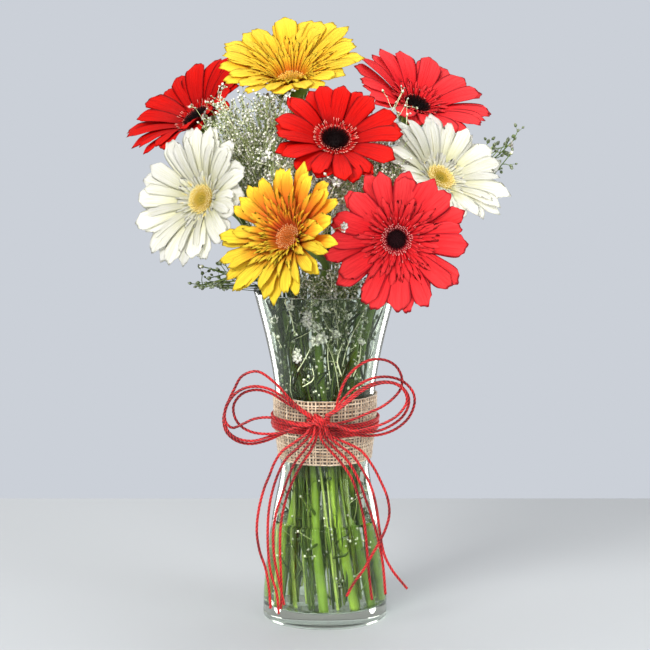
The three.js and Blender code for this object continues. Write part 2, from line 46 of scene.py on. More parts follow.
# Camera
# It stands a little above the vase and far off, as in the photo, so there is little perspective.
# Its view is the whole arrangement from the foot up to the top bloom.
LOOK_AT = Vector((0.0, 0.0, 0.2234))
CAMERA_FAR = 2.097
CAMERA_PITCH = math.radians(9.5)
camera_data = bpy.data.cameras.new("camera")
camera_data.lens = 155.1
camera_data.sensor_width = 36
camera_data.clip_start = 0.1
camera_data.clip_end = 20
camera = bpy.data.objects.new("camera", camera_data)
camera.location = LOOK_AT + CAMERA_FAR * Vector((0, -math.cos(CAMERA_PITCH), math.sin(CAMERA_PITCH)))
camera.rotation_euler = (math.pi / 2 - CAMERA_PITCH, 0, 0)
scene.collection.objects.link(camera)
scene.camera = camera

# Vase
# One blown vase of clear glass, flared at foot and rim and narrow at the waist, with a thick solid
# base. It stands on a ring round a shallow hollow under the base, and its rim is fire polished.
MM = 0.001
VASE_RINGS = [
    (47, 3), (46, 27), (40.5, 74), (34.5, 105), (33.4, 120), (36.7, 151), (38.2, 181), (43.9, 212),
    (53.4, 250),
]
UNDERSIDE = [(0, 1.4), (30, 1.1), (40, 0.5), (42.2, 0.0), (44.4, 0.0), (46.0, 0.6), (46.8, 1.8)]
RIM = [(53.0, 251.0), (52.0, 251.4), (51.0, 251.2), (50.4, 250.4)]
GLASS_WALL = 3.0
GLASS_FLOOR = 11.0
FLOOR_CORNER = 3.5
ROUND = 128


def tint(red, green, blue):
    """A colour given as on a screen, 0 to 255, as the shader's own numbers"""
    light = [c / 255 for c in (red, green, blue)]
    return tuple(c / 12.92 if c < 0.04045 else ((c + 0.055) / 1.055) ** 2.4 for c in light) + (1.0,)


def new_finish(name, **sockets):
    """A material, its tree and its shader, with plain values set on the shader's own sockets"""
    finish = bpy.data.materials.new(name)
    finish.use_nodes = True
    shader = finish.node_tree.nodes["Principled BSDF"]
    for label, value in sockets.items():
        shader.inputs[label.replace("_", " ")].default_value = value
    return finish, finish.node_tree, shader


def add(tree, kind, inputs=None, **settings):
    """A node, with its settings, and with each input set to a value or joined to a socket"""
    made = tree.nodes.new(kind)
    for label, value in settings.items():
        setattr(made, label, value)
    for label, value in (inputs or {}).items():
        socket = made.inputs[label]
        if isinstance(value, bpy.types.NodeSocket):
            tree.links.new(value, socket)
        else:
            socket.default_value = value
    return made


def show_mixed(tree, share, first, second, output="Material Output"):
    """The tree shows the first shader, and the second by a share"""
    both = add(tree, "ShaderNodeMixShader", {0: share, 1: first.outputs[0], 2: second.outputs[0]})
    tree.links.new(both.outputs[0], tree.nodes[output].inputs["Surface"])


def clear_finish(name, shade, **sockets):
    """Clear glass or water, which lets the light of the lamps through to what stands in it"""
    finish, tree, shader = new_finish(name, Roughness=0.0, Transmission_Weight=1.0, **sockets)
    path = add(tree, "ShaderNodeLightPath")
    through = add(tree, "ShaderNodeBsdfTransparent", {"Color": shade})
    show_mixed(tree, path.outputs["Is Shadow Ray"], shader, through)
    return finish


def settle(made, slot, nodes):
    """The piece hides the nodes it stands for, and rides with the rest when it is given a slot"""
    if nodes:
        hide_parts(*nodes)
    if slot:
        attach(made, "root")
    return made


def piece(name, parts, finishes, slot, nodes):
    """A named mesh from parts of (points, lists of faces, values of each point), riding on the vase"""
    points = np.concatenate([part[0] for part in parts]) * MM
    corners, totals = [], []
    start = 0
    for places, faces, _ in parts:
        for group in faces:
            corners.append((np.asarray(group) + start).ravel())
            totals.append(np.full(len(group), len(group[0])))
        start += len(places)
    corners = np.concatenate(corners)
    totals = np.concatenate(totals)
    mesh = bpy.data.meshes.new(name)
    mesh.vertices.add(len(points))
    mesh.vertices.foreach_set("co", points.astype(np.float32).ravel())
    mesh.loops.add(len(corners))
    mesh.loops.foreach_set("vertex_index", corners.astype(np.int32))
    mesh.polygons.add(len(totals))
    mesh.polygons.foreach_set("loop_start", (np.cumsum(totals) - totals).astype(np.int32))
    mesh.polygons.foreach_set("use_smooth", np.full(len(totals), True))
    for label in parts[0][2]:
        values = np.concatenate([part[2][label] for part in parts]).astype(np.float32)
        mesh.attributes.new(label, "FLOAT", "POINT").data.foreach_set("value", values)
    mesh.update()
    for finish in finishes:
        mesh.materials.append(finish)
    made = bpy.data.objects.new(name, mesh)
    scene.collection.objects.link(made)
    return settle(made, slot, nodes)


def around(turn, out, side, height):
    """Points that lie so far out and aside along a direction round the axis, and so high"""
    cosine, sine = np.cos(turn), np.sin(turn)
    spots = np.broadcast_arrays(out * cosine - side * sine, out * sine + side * cosine, height)
    return np.stack(spots, -1)


def closed_rings(rows, sides):
    """Faces between rings of points, with a fan at each end to one of the two points after them"""
    here = np.arange(sides)
    there = (here + 1) % sides
    low = (np.arange(rows - 1) * sides)[:, None]
    quads = np.stack([low + here, low + there, low + sides + there, low + sides + here], 2).reshape(-1, 4)
    last = (rows - 1) * sides
    start = np.stack([np.full(sides, rows * sides), there, here], 1)
    end = np.stack([np.full(sides, rows * sides + 1), last + here, last + there], 1)
    return [quads, start, end]


def evenly(points, **values):
    """Values that are the same at all points"""
    return {label: np.full(len(points), value) for label, value in values.items()}


def turned(outline, sides=ROUND, **values):
    """An outline of (radius, height) turned round the axis, from axis to axis, with even values"""
    angles = 2 * np.pi * np.arange(sides) / sides
    radii, heights = np.array(outline[1:-1], float).T[..., None]
    rings = around(angles, radii, 0, heights).reshape(-1, 3)
    points = np.concatenate([rings, [[0, 0, outline[0][1]], [0, 0, outline[-1][1]]]])
    return points, closed_rings(len(radii), sides), evenly(points, **values)


def even_curve(points, steps):
    """A uniform Catmull-Rom line through the points, with so many steps between each two"""
    points = np.array(points, float)
    padded = np.concatenate([points[:1], points, points[-1:]])
    line = []
    for a, b, c, d in zip(padded, padded[1:], padded[2:], padded[3:]):
        for t in np.arange(steps) / steps:
            line.append(0.5 * (2 * b + (c - a) * t + (2 * a - 5 * b + 4 * c - d) * t**2
                               + (3 * b - a - 3 * c + d) * t**3))
    return np.array(line + [points[-1]])


glass_line = even_curve(VASE_RINGS, 8)


def glass_radius(height):
    """The vase's outer radius at a height"""
    return np.interp(height, glass_line[:, 1], glass_line[:, 0])


inner_line = [(r - GLASS_WALL, z) for r, z in glass_line if z > GLASS_FLOOR + FLOOR_CORNER]
floor_edge = glass_radius(GLASS_FLOOR) - GLASS_WALL
corner = [(floor_edge - inset, GLASS_FLOOR + lift) for inset, lift in ((0.4, 2.2), (1.4, 1.0), (3.2, 0.3))]
floor = [(radius, GLASS_FLOOR) for radius in (30, 15, 0)]
glass = clear_finish(
    "clear_glass", (0.93, 0.95, 0.94, 1), Base_Color=tint(242, 248, 236), IOR=1.5,
    Specular_Tint=(0.45, 0.5, 0.4, 1))
vase_outline = [*UNDERSIDE, *map(tuple, glass_line), *RIM, *inner_line[::-1], *corner, *floor]
piece("vase_glass", [turned(vase_outline)], [glass], "glass", ["vase"])

# Water
# Clear water stands in the lower third of the vase and wets its wall, so its edge climbs a little
# there. The stems stand in it.
WATER_LEVEL = 75.0
WETTED = 0.05
EDGE_DEPTH = 3
# out from the inner wall, and up from the water level
CLIMBING_EDGE = [(0.15, -2), (0.05, 1.3), (-0.5, 0.8), (-1.3, 0.35), (-2.6, 0.08), (-5, 0)]
water_floor = [
    (0, GLASS_FLOOR - WETTED), (30, GLASS_FLOOR - WETTED), (floor_edge - 3.2, GLASS_FLOOR + 0.25),
    (floor_edge - 1.4, GLASS_FLOOR + 0.95), (floor_edge - 0.35, GLASS_FLOOR + 2.2),
]
water_side = [(r + WETTED, z) for r, z in inner_line if z < WATER_LEVEL - EDGE_DEPTH]
wall = glass_radius(WATER_LEVEL) - GLASS_WALL
water_edge = [(wall + out, WATER_LEVEL + rise) for out, rise in CLIMBING_EDGE]
water_top = [(15, WATER_LEVEL), (0, WATER_LEVEL)]
water = clear_finish("clear_water", (0.95, 0.97, 0.96, 1), Base_Color=tint(248, 252, 251), IOR=1.33)
piece("vase_water", [turned(water_floor + water_side + water_edge + water_top)], [water], "water", ["water"])

# Stems
# Eight gerbera stems, thick, ribbed and slightly hairy, cut off level where they stand on the glass floor.
# They cross at the waist, fan out above the rim and bend up behind the blooms. Each ends in a calyx of
# overlapping green scales.
STEM_RADIUS = 3.3
STEM_SIDES = 18
STEM_TWIST = 28
STEM_FOOT_RADIUS = 35
STEM_CUT = GLASS_FLOOR + 0.3
RIB_TURN = 260.0
HALFWAY_LEVEL = 69
WAIST_LEVEL = 122
END_BULGE = 0.15
# heights, and the share of its radius that a stem has there
SWELL = [(11, 1.06), (60, 1.0), (245, 0.98), (300, 0.95), (400, 0.93)]
# how far behind the calyx and how far below its axis a stem bends up
BEND_BACK = 24
BEND_DROP = 4
CALYX_HEIGHT = 15
CALYX_OUTLINE = [
    (0, -16), (3.4, -15.8), (4.6, -14.6), (8.2, -10.4), (11.2, -6.5), (12.4, -3.5), (12.5, -1.5), (0, -1.3),
]
# each row of scales: its lowest point from the face of the head, its radius there, and how many
SCALE_ROWS = [(-15.6, 4.6, 13), (-13, 6.6, 16), (-9.6, 9.3, 18)]
SCALE_WIDTH = 3.3
SCALE_THICKNESS = 0.35
# the centre of each head, the degrees that it faces to the side and up, its radius, how steep its petals
# rise in degrees, the angle and radius of its stem at the waist, and where its stem leaves the vase
Head = namedtuple("Head", "centre facing radius cup waist mouth")
HEADS = {
    "yellow_top": Head((-25, 50.5, 398), (-10, 62), 55, 22, (127, 18), (-8, 38, 245)),
    "red_left": Head((-95.5, 70, 368.5), (-57, 51), 51.5, 20, (180, 18), (-27, 31, 245)),
    "red_right": Head((68, 68, 378), (38, 57), 52.5, 20, (72, 18), (22, 34, 245)),
    "red_centre": Head((6.7, -31, 362.5), (9, 47), 48, 16, (307, 16), (2, 2, 245)),
    "white_left": Head((-88, -5, 317.5), (-41, 18), 53, 19, (242, 18), (-36, 4, 245)),
    "white_right": Head((83, -8, 331.5), (37, 44), 50.5, 21, (20, 18), (38, 6, 245)),
    "gold_front": Head((-22.5, -84, 299), (-40, 25), 53.5, 20, (280, 19), (-6, -28, 245)),
    "rose_front": Head((51.5, -62, 297.5), (0, -2), 52, 18, (338, 19), (28, -16, 245)),
}


def seed_of(name):
    """A fixed seed from the letters of a name"""
    return sum(map(ord, name))


def head_frame(head):
    """A head's centre, and its own axes: across, up and out of its face"""
    side, rise = (math.radians(angle) for angle in head.facing)
    out = np.array([math.sin(side) * math.cos(rise), -math.cos(side) * math.cos(rise), math.sin(rise)])
    across = np.cross([0, 0, 1], out)
    across /= np.linalg.norm(across)
    return np.array(head.centre, float), np.array([across, np.cross(out, across), out])


def on_head(part, head):
    """A part made in a head's own frame, put where the head is"""
    centre, axes = head_frame(head)
    points, faces, values = part
    return points @ axes + centre, faces, values


def run_along(line):
    """How far along a line each of its points is"""
    return np.concatenate([[0], np.cumsum(np.linalg.norm(np.diff(line, axis=0), axis=1))])


def smooth_route(points, spacing):
    """A smooth line through the points, at even steps, that doesn't overshoot where they lie close"""
    points = np.array(points, float)
    ends = [2 * points[0] - points[1], *points, 2 * points[-1] - points[-2]]
    line = [points[0]]
    for a, b, c, d in zip(ends, ends[1:], ends[2:], ends[3:]):
        before, here, after = (math.sqrt(np.linalg.norm(q - p)) for p, q in ((a, b), (b, c), (c, d)))
        leave = ((b - a) / before - (c - a) / (before + here) + (c - b) / here) * here
        arrive = ((c - b) / here - (d - b) / (here + after) + (d - c) / after) * here
        t = np.linspace(0, 1, 41)[1:, None]
        line.extend(b + leave * t + (3 * (c - b) - 2 * leave - arrive) * t**2
                    + (2 * (b - c) + leave + arrive) * t**3)
    line = np.array(line)
    run = run_along(line)
    at = np.linspace(0, run[-1], max(2, round(run[-1] / spacing)) + 1)
    return np.stack([np.interp(at, run, line[:, k]) for k in range(3)], 1)


def rod(path, radius, section, turn_length=0.0, **values):
    """A closed rod along a path. The section is the share of the radius at each side, and may wind round."""
    path = np.asarray(path, float)
    section = np.array(section)
    sides = len(section)
    radius = np.broadcast_to(np.asarray(radius, float), len(path))[:, None]
    tangents = np.gradient(path, axis=0)
    tangents /= np.linalg.norm(tangents, axis=1)[:, None]
    normal = np.cross(tangents[0], [0.3, 0.2, 1.0] if abs(tangents[0][2]) < 0.9 else [1.0, 0.2, 0.1])
    normals = []
    for tangent in tangents:
        normal = normal - tangent * normal.dot(tangent)
        normal /= np.linalg.norm(normal)
        normals.append(normal)
    normals = np.array(normals)
    sideways = np.cross(tangents, normals)
    wind = 2 * np.pi * run_along(path) / turn_length if turn_length else np.zeros(len(path))
    angles = 2 * np.pi * np.arange(sides) / sides + wind[:, None]
    reach = radius * section
    rings = (path[:, None] + (reach * np.cos(angles))[..., None] * normals[:, None]
             + (reach * np.sin(angles))[..., None] * sideways[:, None])
    bulge = END_BULGE * radius * tangents
    points = np.concatenate([rings.reshape(-1, 3), path[:1] - bulge[:1], path[-1:] + bulge[-1:]])
    ridge = np.append(np.tile(section / section.max(), len(path)), [0.9, 0.9])
    return points, closed_rings(len(path), sides), {"ridge": ridge, **evenly(points, **values)}


def on_circle(degrees, radius, height):
    """A point at an angle and a radius round the axis, and at a height"""
    return around(math.radians(degrees), radius, 0, height)


def rising_route(waist, foot_radius, rest, spacing):
    """A stem's line from under the glass floor, with a twist up to the waist, and on through the rest"""
    angle, radius = waist
    return smooth_route([
        on_circle(angle + STEM_TWIST, foot_radius, GLASS_FLOOR - 5),
        on_circle(angle + STEM_TWIST / 2, (foot_radius + radius) / 2, HALFWAY_LEVEL),
        on_circle(angle, radius, WAIST_LEVEL), *rest], spacing)


def cut_level(route, height):
    """The route from a height up"""
    first = np.argmax(route[:, 2] > height)
    low, high = route[first - 1], route[first]
    return np.concatenate([[low + (high - low) * (height - low[2]) / (high[2] - low[2])], route[first:]])


def leaf_shell(top, thickness, **values):
    """A thin closed leaf from a grid of points of its upper face, sharing the points of its rim"""
    rows, columns = top.shape[:2]
    up = np.cross(np.gradient(top, axis=1), np.gradient(top, axis=0))
    up /= np.maximum(np.linalg.norm(up, axis=2), 1e-9)[..., None]
    upper = np.arange(rows * columns).reshape(rows, columns)
    lower = upper.copy()
    inner = (rows - 2) * (columns - 2)
    lower[1:-1, 1:-1] = rows * columns + np.arange(inner).reshape(rows - 2, columns - 2)
    points = np.concatenate([top.reshape(-1, 3), (top - thickness * up)[1:-1, 1:-1].reshape(-1, 3)])

    def quads(index, flip):
        a, b, c, d = index[:-1, :-1], index[:-1, 1:], index[1:, 1:], index[1:, :-1]
        order = (a, d, c, b) if flip else (a, b, c, d)
        return np.stack([k.ravel() for k in order], 1)

    grids = {label: np.broadcast_to(value, (rows, columns)) for label, value in values.items()}
    given = {label: np.concatenate([grid.ravel(), grid[1:-1, 1:-1].ravel()]) for label, grid in grids.items()}
    return points, [quads(upper, False), quads(lower, True)], given


def calyx(name, head):
    """The green cup behind a bloom: a smooth cone, and rows of narrow scales that overlap up it"""
    dice = np.random.default_rng(seed_of(name))
    parts = [on_head(turned(CALYX_OUTLINE, 32, ridge=0.8, tone=0.3), head)]
    s = np.linspace(0, 1, 6)[:, None]
    c = np.linspace(-1, 1, 5)[None]
    wide = SCALE_WIDTH / 2 * (0.55 + 0.9 * s - 1.3 * s**3 + 0.02)
    for row, (low, radius, count) in enumerate(SCALE_ROWS):
        for k in range(count):
            turn = 2 * np.pi * (k + 0.5 * (row % 2) + 0.15 * dice.uniform(-1, 1)) / count
            up = (8.6 + 0.6 * row + dice.uniform(-0.6, 0.6)) * (s - 0.06 * c**2 * s)
            out = radius + 0.55 + up * 0.56 - 0.028 * up**2 + 0.12 * SCALE_WIDTH * (1 - c**2)
            top = around(turn, out, c * wide, low + up * 0.80)
            leaf = leaf_shell(top, SCALE_THICKNESS, ridge=1 - np.abs(c), tone=dice.uniform(0, 1))
            parts.append(on_head(leaf, head))
    return parts


def maths(tree, operation, *values, kind="Math", **settings):
    """The result of a sum of numbers or sockets, or of vectors where the kind is VectorMath"""
    made = add(tree, f"ShaderNode{kind}", dict(enumerate(values)), operation=operation, **settings)
    return made.outputs[0]


def times(tree, first, second):
    """The product of two numbers"""
    return maths(tree, "MULTIPLY", first, second)


def scaled(tree, vector, scale):
    """A vector or a colour times a number"""
    return add(tree, "ShaderNodeVectorMath", {0: vector, "Scale": scale}, operation="SCALE").outputs[0]


def span(tree, value, start=0.0, end=1.0, low=0.0, high=1.0):
    """A value carried from start and end to low and high, and held at both"""
    limits = {"From Min": start, "From Max": end, "To Min": low, "To Max": high}
    return add(tree, "ShaderNodeMapRange", {"Value": value, **limits}).outputs[0]


def as_given(*numbers):
    """A colour given as the shader's own numbers"""
    return (*numbers, 1.0)


def ramp(tree, value, stages, color=tint):
    """The colour at a value, between stages of a value and a colour's numbers"""
    made = add(tree, "ShaderNodeValToRGB", {"Fac": value})
    elements = made.color_ramp.elements
    while len(elements) < len(stages):
        elements.new(0.5)
    for element, (position, numbers) in zip(elements, stages):
        element.position = position
        element.color = color(*numbers)
    return made.outputs[0]


def attribute(tree, label):
    """The value that the mesh holds under a label"""
    return add(tree, "ShaderNodeAttribute", attribute_name=label).outputs["Fac"]


def object_place(tree):
    """Where a point is on the object"""
    return add(tree, "ShaderNodeTexCoord").outputs["Object"]


def noise(tree, scale, detail):
    """Soft noise over the object"""
    inputs = {"Vector": object_place(tree), "Scale": scale, "Detail": detail}
    return add(tree, "ShaderNodeTexNoise", inputs).outputs["Fac"]


def own_shade(tree, scale):
    """Half soft noise and half the part's own tone"""
    return times(tree, maths(tree, "ADD", noise(tree, scale, 4.0), attribute(tree, "tone")), 0.5)


def height_share(tree, top):
    """How high a point is, from 0 at the table to 1 at the top, which is in metres"""
    return span(tree, add(tree, "ShaderNodeSeparateXYZ", {0: object_place(tree)}).outputs["Z"], 0.0, top)


def roughen(tree, shader, height, strength, distance):
    """Fine relief on a finish"""
    bump = add(tree, "ShaderNodeBump", {"Height": height, "Strength": strength, "Distance": distance})
    tree.links.new(bump.outputs[0], shader.inputs["Normal"])
    return bump.outputs[0]


stem_green, tree, shader = new_finish(
    "gerbera_stem", Roughness=0.5, Sheen_Weight=0.25, Sheen_Roughness=0.4, Sheen_Tint=tint(225, 235, 190))
green = ramp(
    tree, own_shade(tree, 55.0), [(0.2, (72, 98, 16)), (0.5, (114, 144, 30)), (0.8, (158, 178, 62))])
# painted shade: the stems are darker in the grooves between their ribs, and the calyx scales away from their
# midribs
groove_shaded_green = scaled(tree, green, span(tree, attribute(tree, "ridge"), 0.9, 1.0, 0.74, 1.0))
# painted shade: the stems are darkened from the waist to a little above the rim, where they crowd in the neck
# of the vase and lie in shade
stem_neck_shade = ramp(tree, height_share(tree, 0.4), [
    (0.3, (1, 1, 1)), (0.44, (0.38, 0.45, 0.28)), (0.7, (0.36, 0.44, 0.25)), (0.85, (1, 1, 1))], as_given)
tree.links.new(maths(tree, "MULTIPLY", groove_shaded_green, stem_neck_shade, kind="VectorMath"), shader.inputs["Base Color"])
roughen(tree, shader, noise(tree, 900.0, 2.0), 0.25, 0.0004)

for name, head in HEADS.items():
    centre, axes = head_frame(head)
    bend = centre - (CALYX_HEIGHT + BEND_BACK) * axes[2] - (0, 0, BEND_DROP)
    end = centre - (CALYX_HEIGHT - 3) * axes[2]
    route = cut_level(rising_route(head.waist, STEM_FOOT_RADIUS, [head.mouth, bend, end], 4.0), STEM_CUT)
    swell = np.interp(route[:, 2], *zip(*SWELL))
    tone = (seed_of(name) % 7) / 10
    stalk = rod(route, STEM_RADIUS * swell, [1.0, 0.94] * (STEM_SIDES // 2), RIB_TURN, tone=tone)
    stalk[0][[*range(STEM_SIDES), -2], 2] = STEM_CUT
    piece(f"{name}_stalk", [stalk, *calyx(name, head)], [stem_green], "stem", [f"{name}_stem"])

# Petals
# Each gerbera has whorls of long ray petals that lap over each other in a shallow bowl, and short, narrow
# ones inside. A petal is thin, satiny and a little translucent, with ribs and fine veins along it. The
# varieties differ in colour, in breadth and in the shape of the tips.
PETAL_ROOT = 7.5
# each whorl: length as a share of the radius, change of cup, height of the roots, how many petals, their
# half width, and the curl of their tips
BROAD = [(1.0, -2, 0.0, 13, 9.0, 0.0), (0.985, 0.5, 0.9, 13, 9.4, 0.6)]
RED_LEFT = [(1.05, -1, 0.0, 13, 9.0, 0.0), (1.02, 1.5, 0.9, 13, 9.2, 0.6)]
RED_RIGHT = [(1.05, -2, 0.0, 13, 9.0, 0.0), (1.02, 0.5, 0.9, 13, 9.2, 0.6)]
SHORT_FRINGE = [(0.40, 3, 2.2, 34, 1.1, 0.5)]
STRAPS = [
    (0.74, 2.4, 1.8, 22, 2.9, 0.4), (0.61, 4.6, 2.2, 28, 2.0, 0.4), (0.48, 6.8, 2.6, 34, 1.4, 0.5),
    (0.37, 9.2, 2.9, 38, 1.05, 0.6),
]
PALE_STRAPS = [
    (0.88, 1.6, 1.4, 15, 4.6, 0.5), (0.56, 2.0, 2.0, 24, 2.2, 0.3), (0.47, 3.2, 2.3, 30, 1.7, 0.4),
    (0.37, 5.0, 2.6, 38, 1.25, 0.5),
]
YELLOW_WHORLS = [
    (1.03, 3, 0.0, 13, 9.2, 0.0), (0.99, 5, 0.9, 13, 9.2, 0.5), (0.85, 6.5, 1.6, 18, 4.6, 0.7),
    (0.74, 9, 2.0, 24, 2.5, 1.0), (0.62, 11, 2.3, 28, 2.1, 1.0), (0.50, 13.5, 2.6, 32, 1.6, 1.0),
    (0.39, 16.5, 2.9, 36, 1.2, 1.0),
]
GOLD_WHORLS = [
    (1.02, -5, 0.0, 13, 5.9, 0.0), (0.98, -1.0, 0.8, 13, 5.9, 0.6), (0.87, 3, 1.4, 12, 4.6, 0.8),
    (0.70, 7, 1.9, 14, 3.4, 0.9), (0.55, 10, 2.3, 20, 2.2, 1.0), (0.43, 14, 2.7, 28, 1.5, 1.1),
    (0.34, 18, 3.1, 32, 1.15, 1.2),
]
# warm is how much redder the petals are above the disc than below it
Variety = namedtuple("Variety", "slot breadth point loose whorls warm", defaults=(0,))
VARIETIES = {
    "yellow_top": Variety("yellow_petals", 0.95, 0.13, 0.9, YELLOW_WHORLS),
    "red_left": Variety("red_petals", 0.98, 0.16, 1.3, RED_LEFT + SHORT_FRINGE),
    "red_right": Variety("rose_petals", 0.98, 0.15, 1.3, RED_RIGHT + STRAPS[2:]),
    "red_centre": Variety("red_petals", 1.0, 0.17, 1.4, BROAD + SHORT_FRINGE),
    "white_left": Variety("white_petals", 0.98, 0.14, 1.3, BROAD + PALE_STRAPS),
    "white_right": Variety("white_petals", 0.84, 0.2, 1.3, BROAD + PALE_STRAPS),
    "gold_front": Variety("gold_petals", 1.1, 0.2, 1.5, GOLD_WHORLS, 1.1),
    "rose_front": Variety("rose_petals", 0.98, 0.14, 1.3, BROAD + STRAPS),
}
# petals with more than the first half width have the long form, and inner ones have no more than the second
LONG_HALF = 3.5
INNER_HALF = 2.5
PetalForm = namedtuple("PetalForm", "rows columns loose uneven pointed notched rib ribs thickness outline")
LONG_FORM = PetalForm(17, 9, 1, 0.12, 1, 1, 0.30, 4, 0.4, [0.3, 0.46, 0.7, 0.88, 0.98, 1.0, 0.95, 0.76])
SHORT_FORM = PetalForm(8, 4, 0.6, 0.14, 2, 0, 0.1, 3, 0.25, [0.7, 0.8, 0.9, 1.0, 1.0, 0.95, 0.8, 0.45])
OUTLINE_STEPS = [0, 0.12, 0.3, 0.5, 0.7, 0.82, 0.93, 1.0]


def petal(head, variety, whorl, turn, dice, layer):
    """One ray petal, from its narrow root under the disc to its blunt, notched tip, with ribs along it"""
    share, steeper, base, _, half, curl = whorl
    form = LONG_FORM if half > LONG_HALF else SHORT_FORM
    breadth = variety.breadth if half > LONG_HALF else 1
    loose = variety.loose * form.loose
    cup = math.radians(head.cup + steeper)
    reach = head.radius * share
    length = reach * math.cos(cup / 2) * (1.04 - form.uneven * dice.random() ** 1.4)
    rise = reach * math.tan(cup) - base + loose * dice.uniform(-1, 1)
    # s runs from root to tip, and c from side to side
    s = np.linspace(0, 1, form.rows)[:, None]
    c = np.linspace(-1, 1, form.columns)[None]
    point = variety.point * (0.7 + 0.6 * dice.random()) * form.pointed
    dents = 0.02 * np.cos(2 * np.pi * c + dice.uniform(-math.pi, math.pi)) + 0.012 * dice.uniform(-1, 1) * c
    reach_out = s * (1 - (point * np.abs(c) ** 2.2 - dents * form.notched) * s**6)
    wide = half * breadth * (0.72 + 0.38 * dice.random()) * np.interp(s, OUTLINE_STEPS, form.outline)
    radius = PETAL_ROOT + reach_out * (length - PETAL_ROOT)
    sway = 2.0 * loose * dice.uniform(-1, 1) * s**2
    twist = 0.07 + 0.09 * loose * dice.uniform(-1, 1) * s**2
    ribs = form.rib * np.cos(form.ribs * np.pi * c) * np.sin(np.pi * np.clip(0.04 + s, 0, 1)) ** 0.5
    hollow = (0.03 + 0.06 * dice.uniform(-1, 1)) * wide * c**2 * s
    wave = 0.35 * loose * np.sin(6 * s + 6 * dice.random()) * c * s**2
    droop = 1.6 * loose * dice.uniform(-1, 1) * s**3 - 0.8 * loose * dice.random() * s**6
    height = base + rise * (1 - (1 - reach_out) ** 2) + curl * s**3 + droop + ribs + hollow + wave
    height = height + twist * c * wide
    tone = dice.random() + variety.warm * math.sin(turn)
    top = around(turn, radius, c * wide + sway, height)
    return leaf_shell(top, form.thickness, along=s, across=c, tone=tone, layer=layer)


def blend(tree, share, first, second):
    """The second colour mixed into the first by a share"""
    return add(tree, "ShaderNodeMix", {"Factor": share, 6: first, 7: second}, data_type="RGBA").outputs[2]


def combined(tree, x, y, z):
    """A vector of three numbers or sockets"""
    return add(tree, "ShaderNodeCombineXYZ", {"X": x, "Y": y, "Z": z}).outputs[0]


def petal_finish(name, stages, streak, amount, fade, edge, rim_amount, glow):
    """Satin petal skin, coloured from root to tip, with streaks along the veins and a rim of a set colour
    along its sides and tip
    """
    finish, tree, shader = new_finish(name, Roughness=0.55, Specular_IOR_Level=0.12)
    along, across, tone, layer = (attribute(tree, label) for label in ("along", "across", "tone", "layer"))
    up = maths(tree, "SUBTRACT", along, times(tree, tone, 0.18))
    base = ramp(tree, maths(tree, "MULTIPLY_ADD", layer, -0.08, up), stages)
    stretched = combined(tree, times(tree, across, 5.5), times(tree, along, 1.3), times(tree, tone, 60.0))
    grain = {"Vector": stretched, "Scale": 1.5, "Detail": 3.0, "Roughness": 0.6}
    veins = add(tree, "ShaderNodeTexNoise", grain).outputs["Fac"]
    fading = span(tree, along, 0.3, 1.0, 1.0, 1 - fade)
    streaks = times(tree, span(tree, veins, 0.42, 0.68, 0.0, amount), fading)
    streaked = blend(tree, streaks, base, tint(*streak))
    sides = span(tree, maths(tree, "ABSOLUTE", across), 0.8, 1.0, 0.0, rim_amount)
    end = span(tree, along, 0.95, 1.0, 0.0, rim_amount)
    rimmed = blend(tree, maths(tree, "MAXIMUM", sides, end), streaked, tint(*edge))
    shaded = scaled(tree, rimmed, span(tree, tone, low=0.9, high=1.07))
    tree.links.new(shaded, shader.inputs["Base Color"])
    relief = roughen(tree, shader, veins, 0.6, 0.0012)
    backlit = add(tree, "ShaderNodeBsdfTranslucent", {"Color": shaded, "Normal": relief})
    show_mixed(tree, glow, shader, backlit)
    return finish


PETAL_FINISHES = {
    "yellow_petals": petal_finish(
        "yellow_petal",
        [(0.05, (236, 126, 34)), (0.22, (246, 172, 42)), (0.45, (252, 212, 54)), (0.85, (252, 228, 72))],
        streak=(232, 140, 24), amount=0.75, fade=0.75, edge=(226, 176, 34), rim_amount=0.5, glow=0.3),
    "gold_petals": petal_finish(
        "gold_petal",
        [(0.05, (210, 72, 38)), (0.24, (232, 114, 36)), (0.48, (244, 168, 40)), (0.72, (255, 231, 66))],
        streak=(224, 108, 26), amount=0.65, fade=0.6, edge=(250, 214, 60), rim_amount=0.5, glow=0.3),
    "red_petals": petal_finish(
        "red_petal",
        [(0.05, (140, 2, 2)), (0.22, (196, 6, 2)), (0.6, (218, 14, 5)), (1.0, (226, 26, 12))],
        streak=(156, 0, 2), amount=0.6, fade=0.3, edge=(100, 0, 14), rim_amount=0.5, glow=0.22),
    "rose_petals": petal_finish(
        "rose_petal",
        [(0.05, (176, 6, 20)), (0.22, (232, 34, 40)), (0.6, (250, 60, 64)), (1.0, (252, 72, 74))],
        streak=(200, 12, 30), amount=0.6, fade=0.3, edge=(134, 8, 42), rim_amount=0.5, glow=0.26),
    "white_petals": petal_finish(
        "white_petal",
        [(0.05, (222, 220, 158)), (0.2, (240, 238, 212)), (0.45, (249, 248, 240)), (1.0, (252, 251, 248))],
        streak=(224, 224, 180), amount=0.6, fade=0.5, edge=(242, 243, 228), rim_amount=0.4, glow=0.5),
}
for name, head in HEADS.items():
    variety = VARIETIES[name]
    dice = np.random.default_rng(seed_of(name))
    parts = []
    for level, whorl in enumerate(variety.whorls):
        count, half = whorl[3:5]
        inner = int(half <= INNER_HALF)
        loose = variety.loose * (1.6 if inner else 1)
        for k in range(count):
            shift = 0.5 * (level % 2) + 0.17 * level + 0.17 * loose * dice.uniform(-1, 1)
            turn = 2 * np.pi * (k + shift) / count
            parts.append(on_head(petal(head, variety, whorl, turn, dice, inner), head))
    piece(f"{name}_ray_petals", parts, [PETAL_FINISHES[variety.slot]], variety.slot, [f"{name}_petals"])

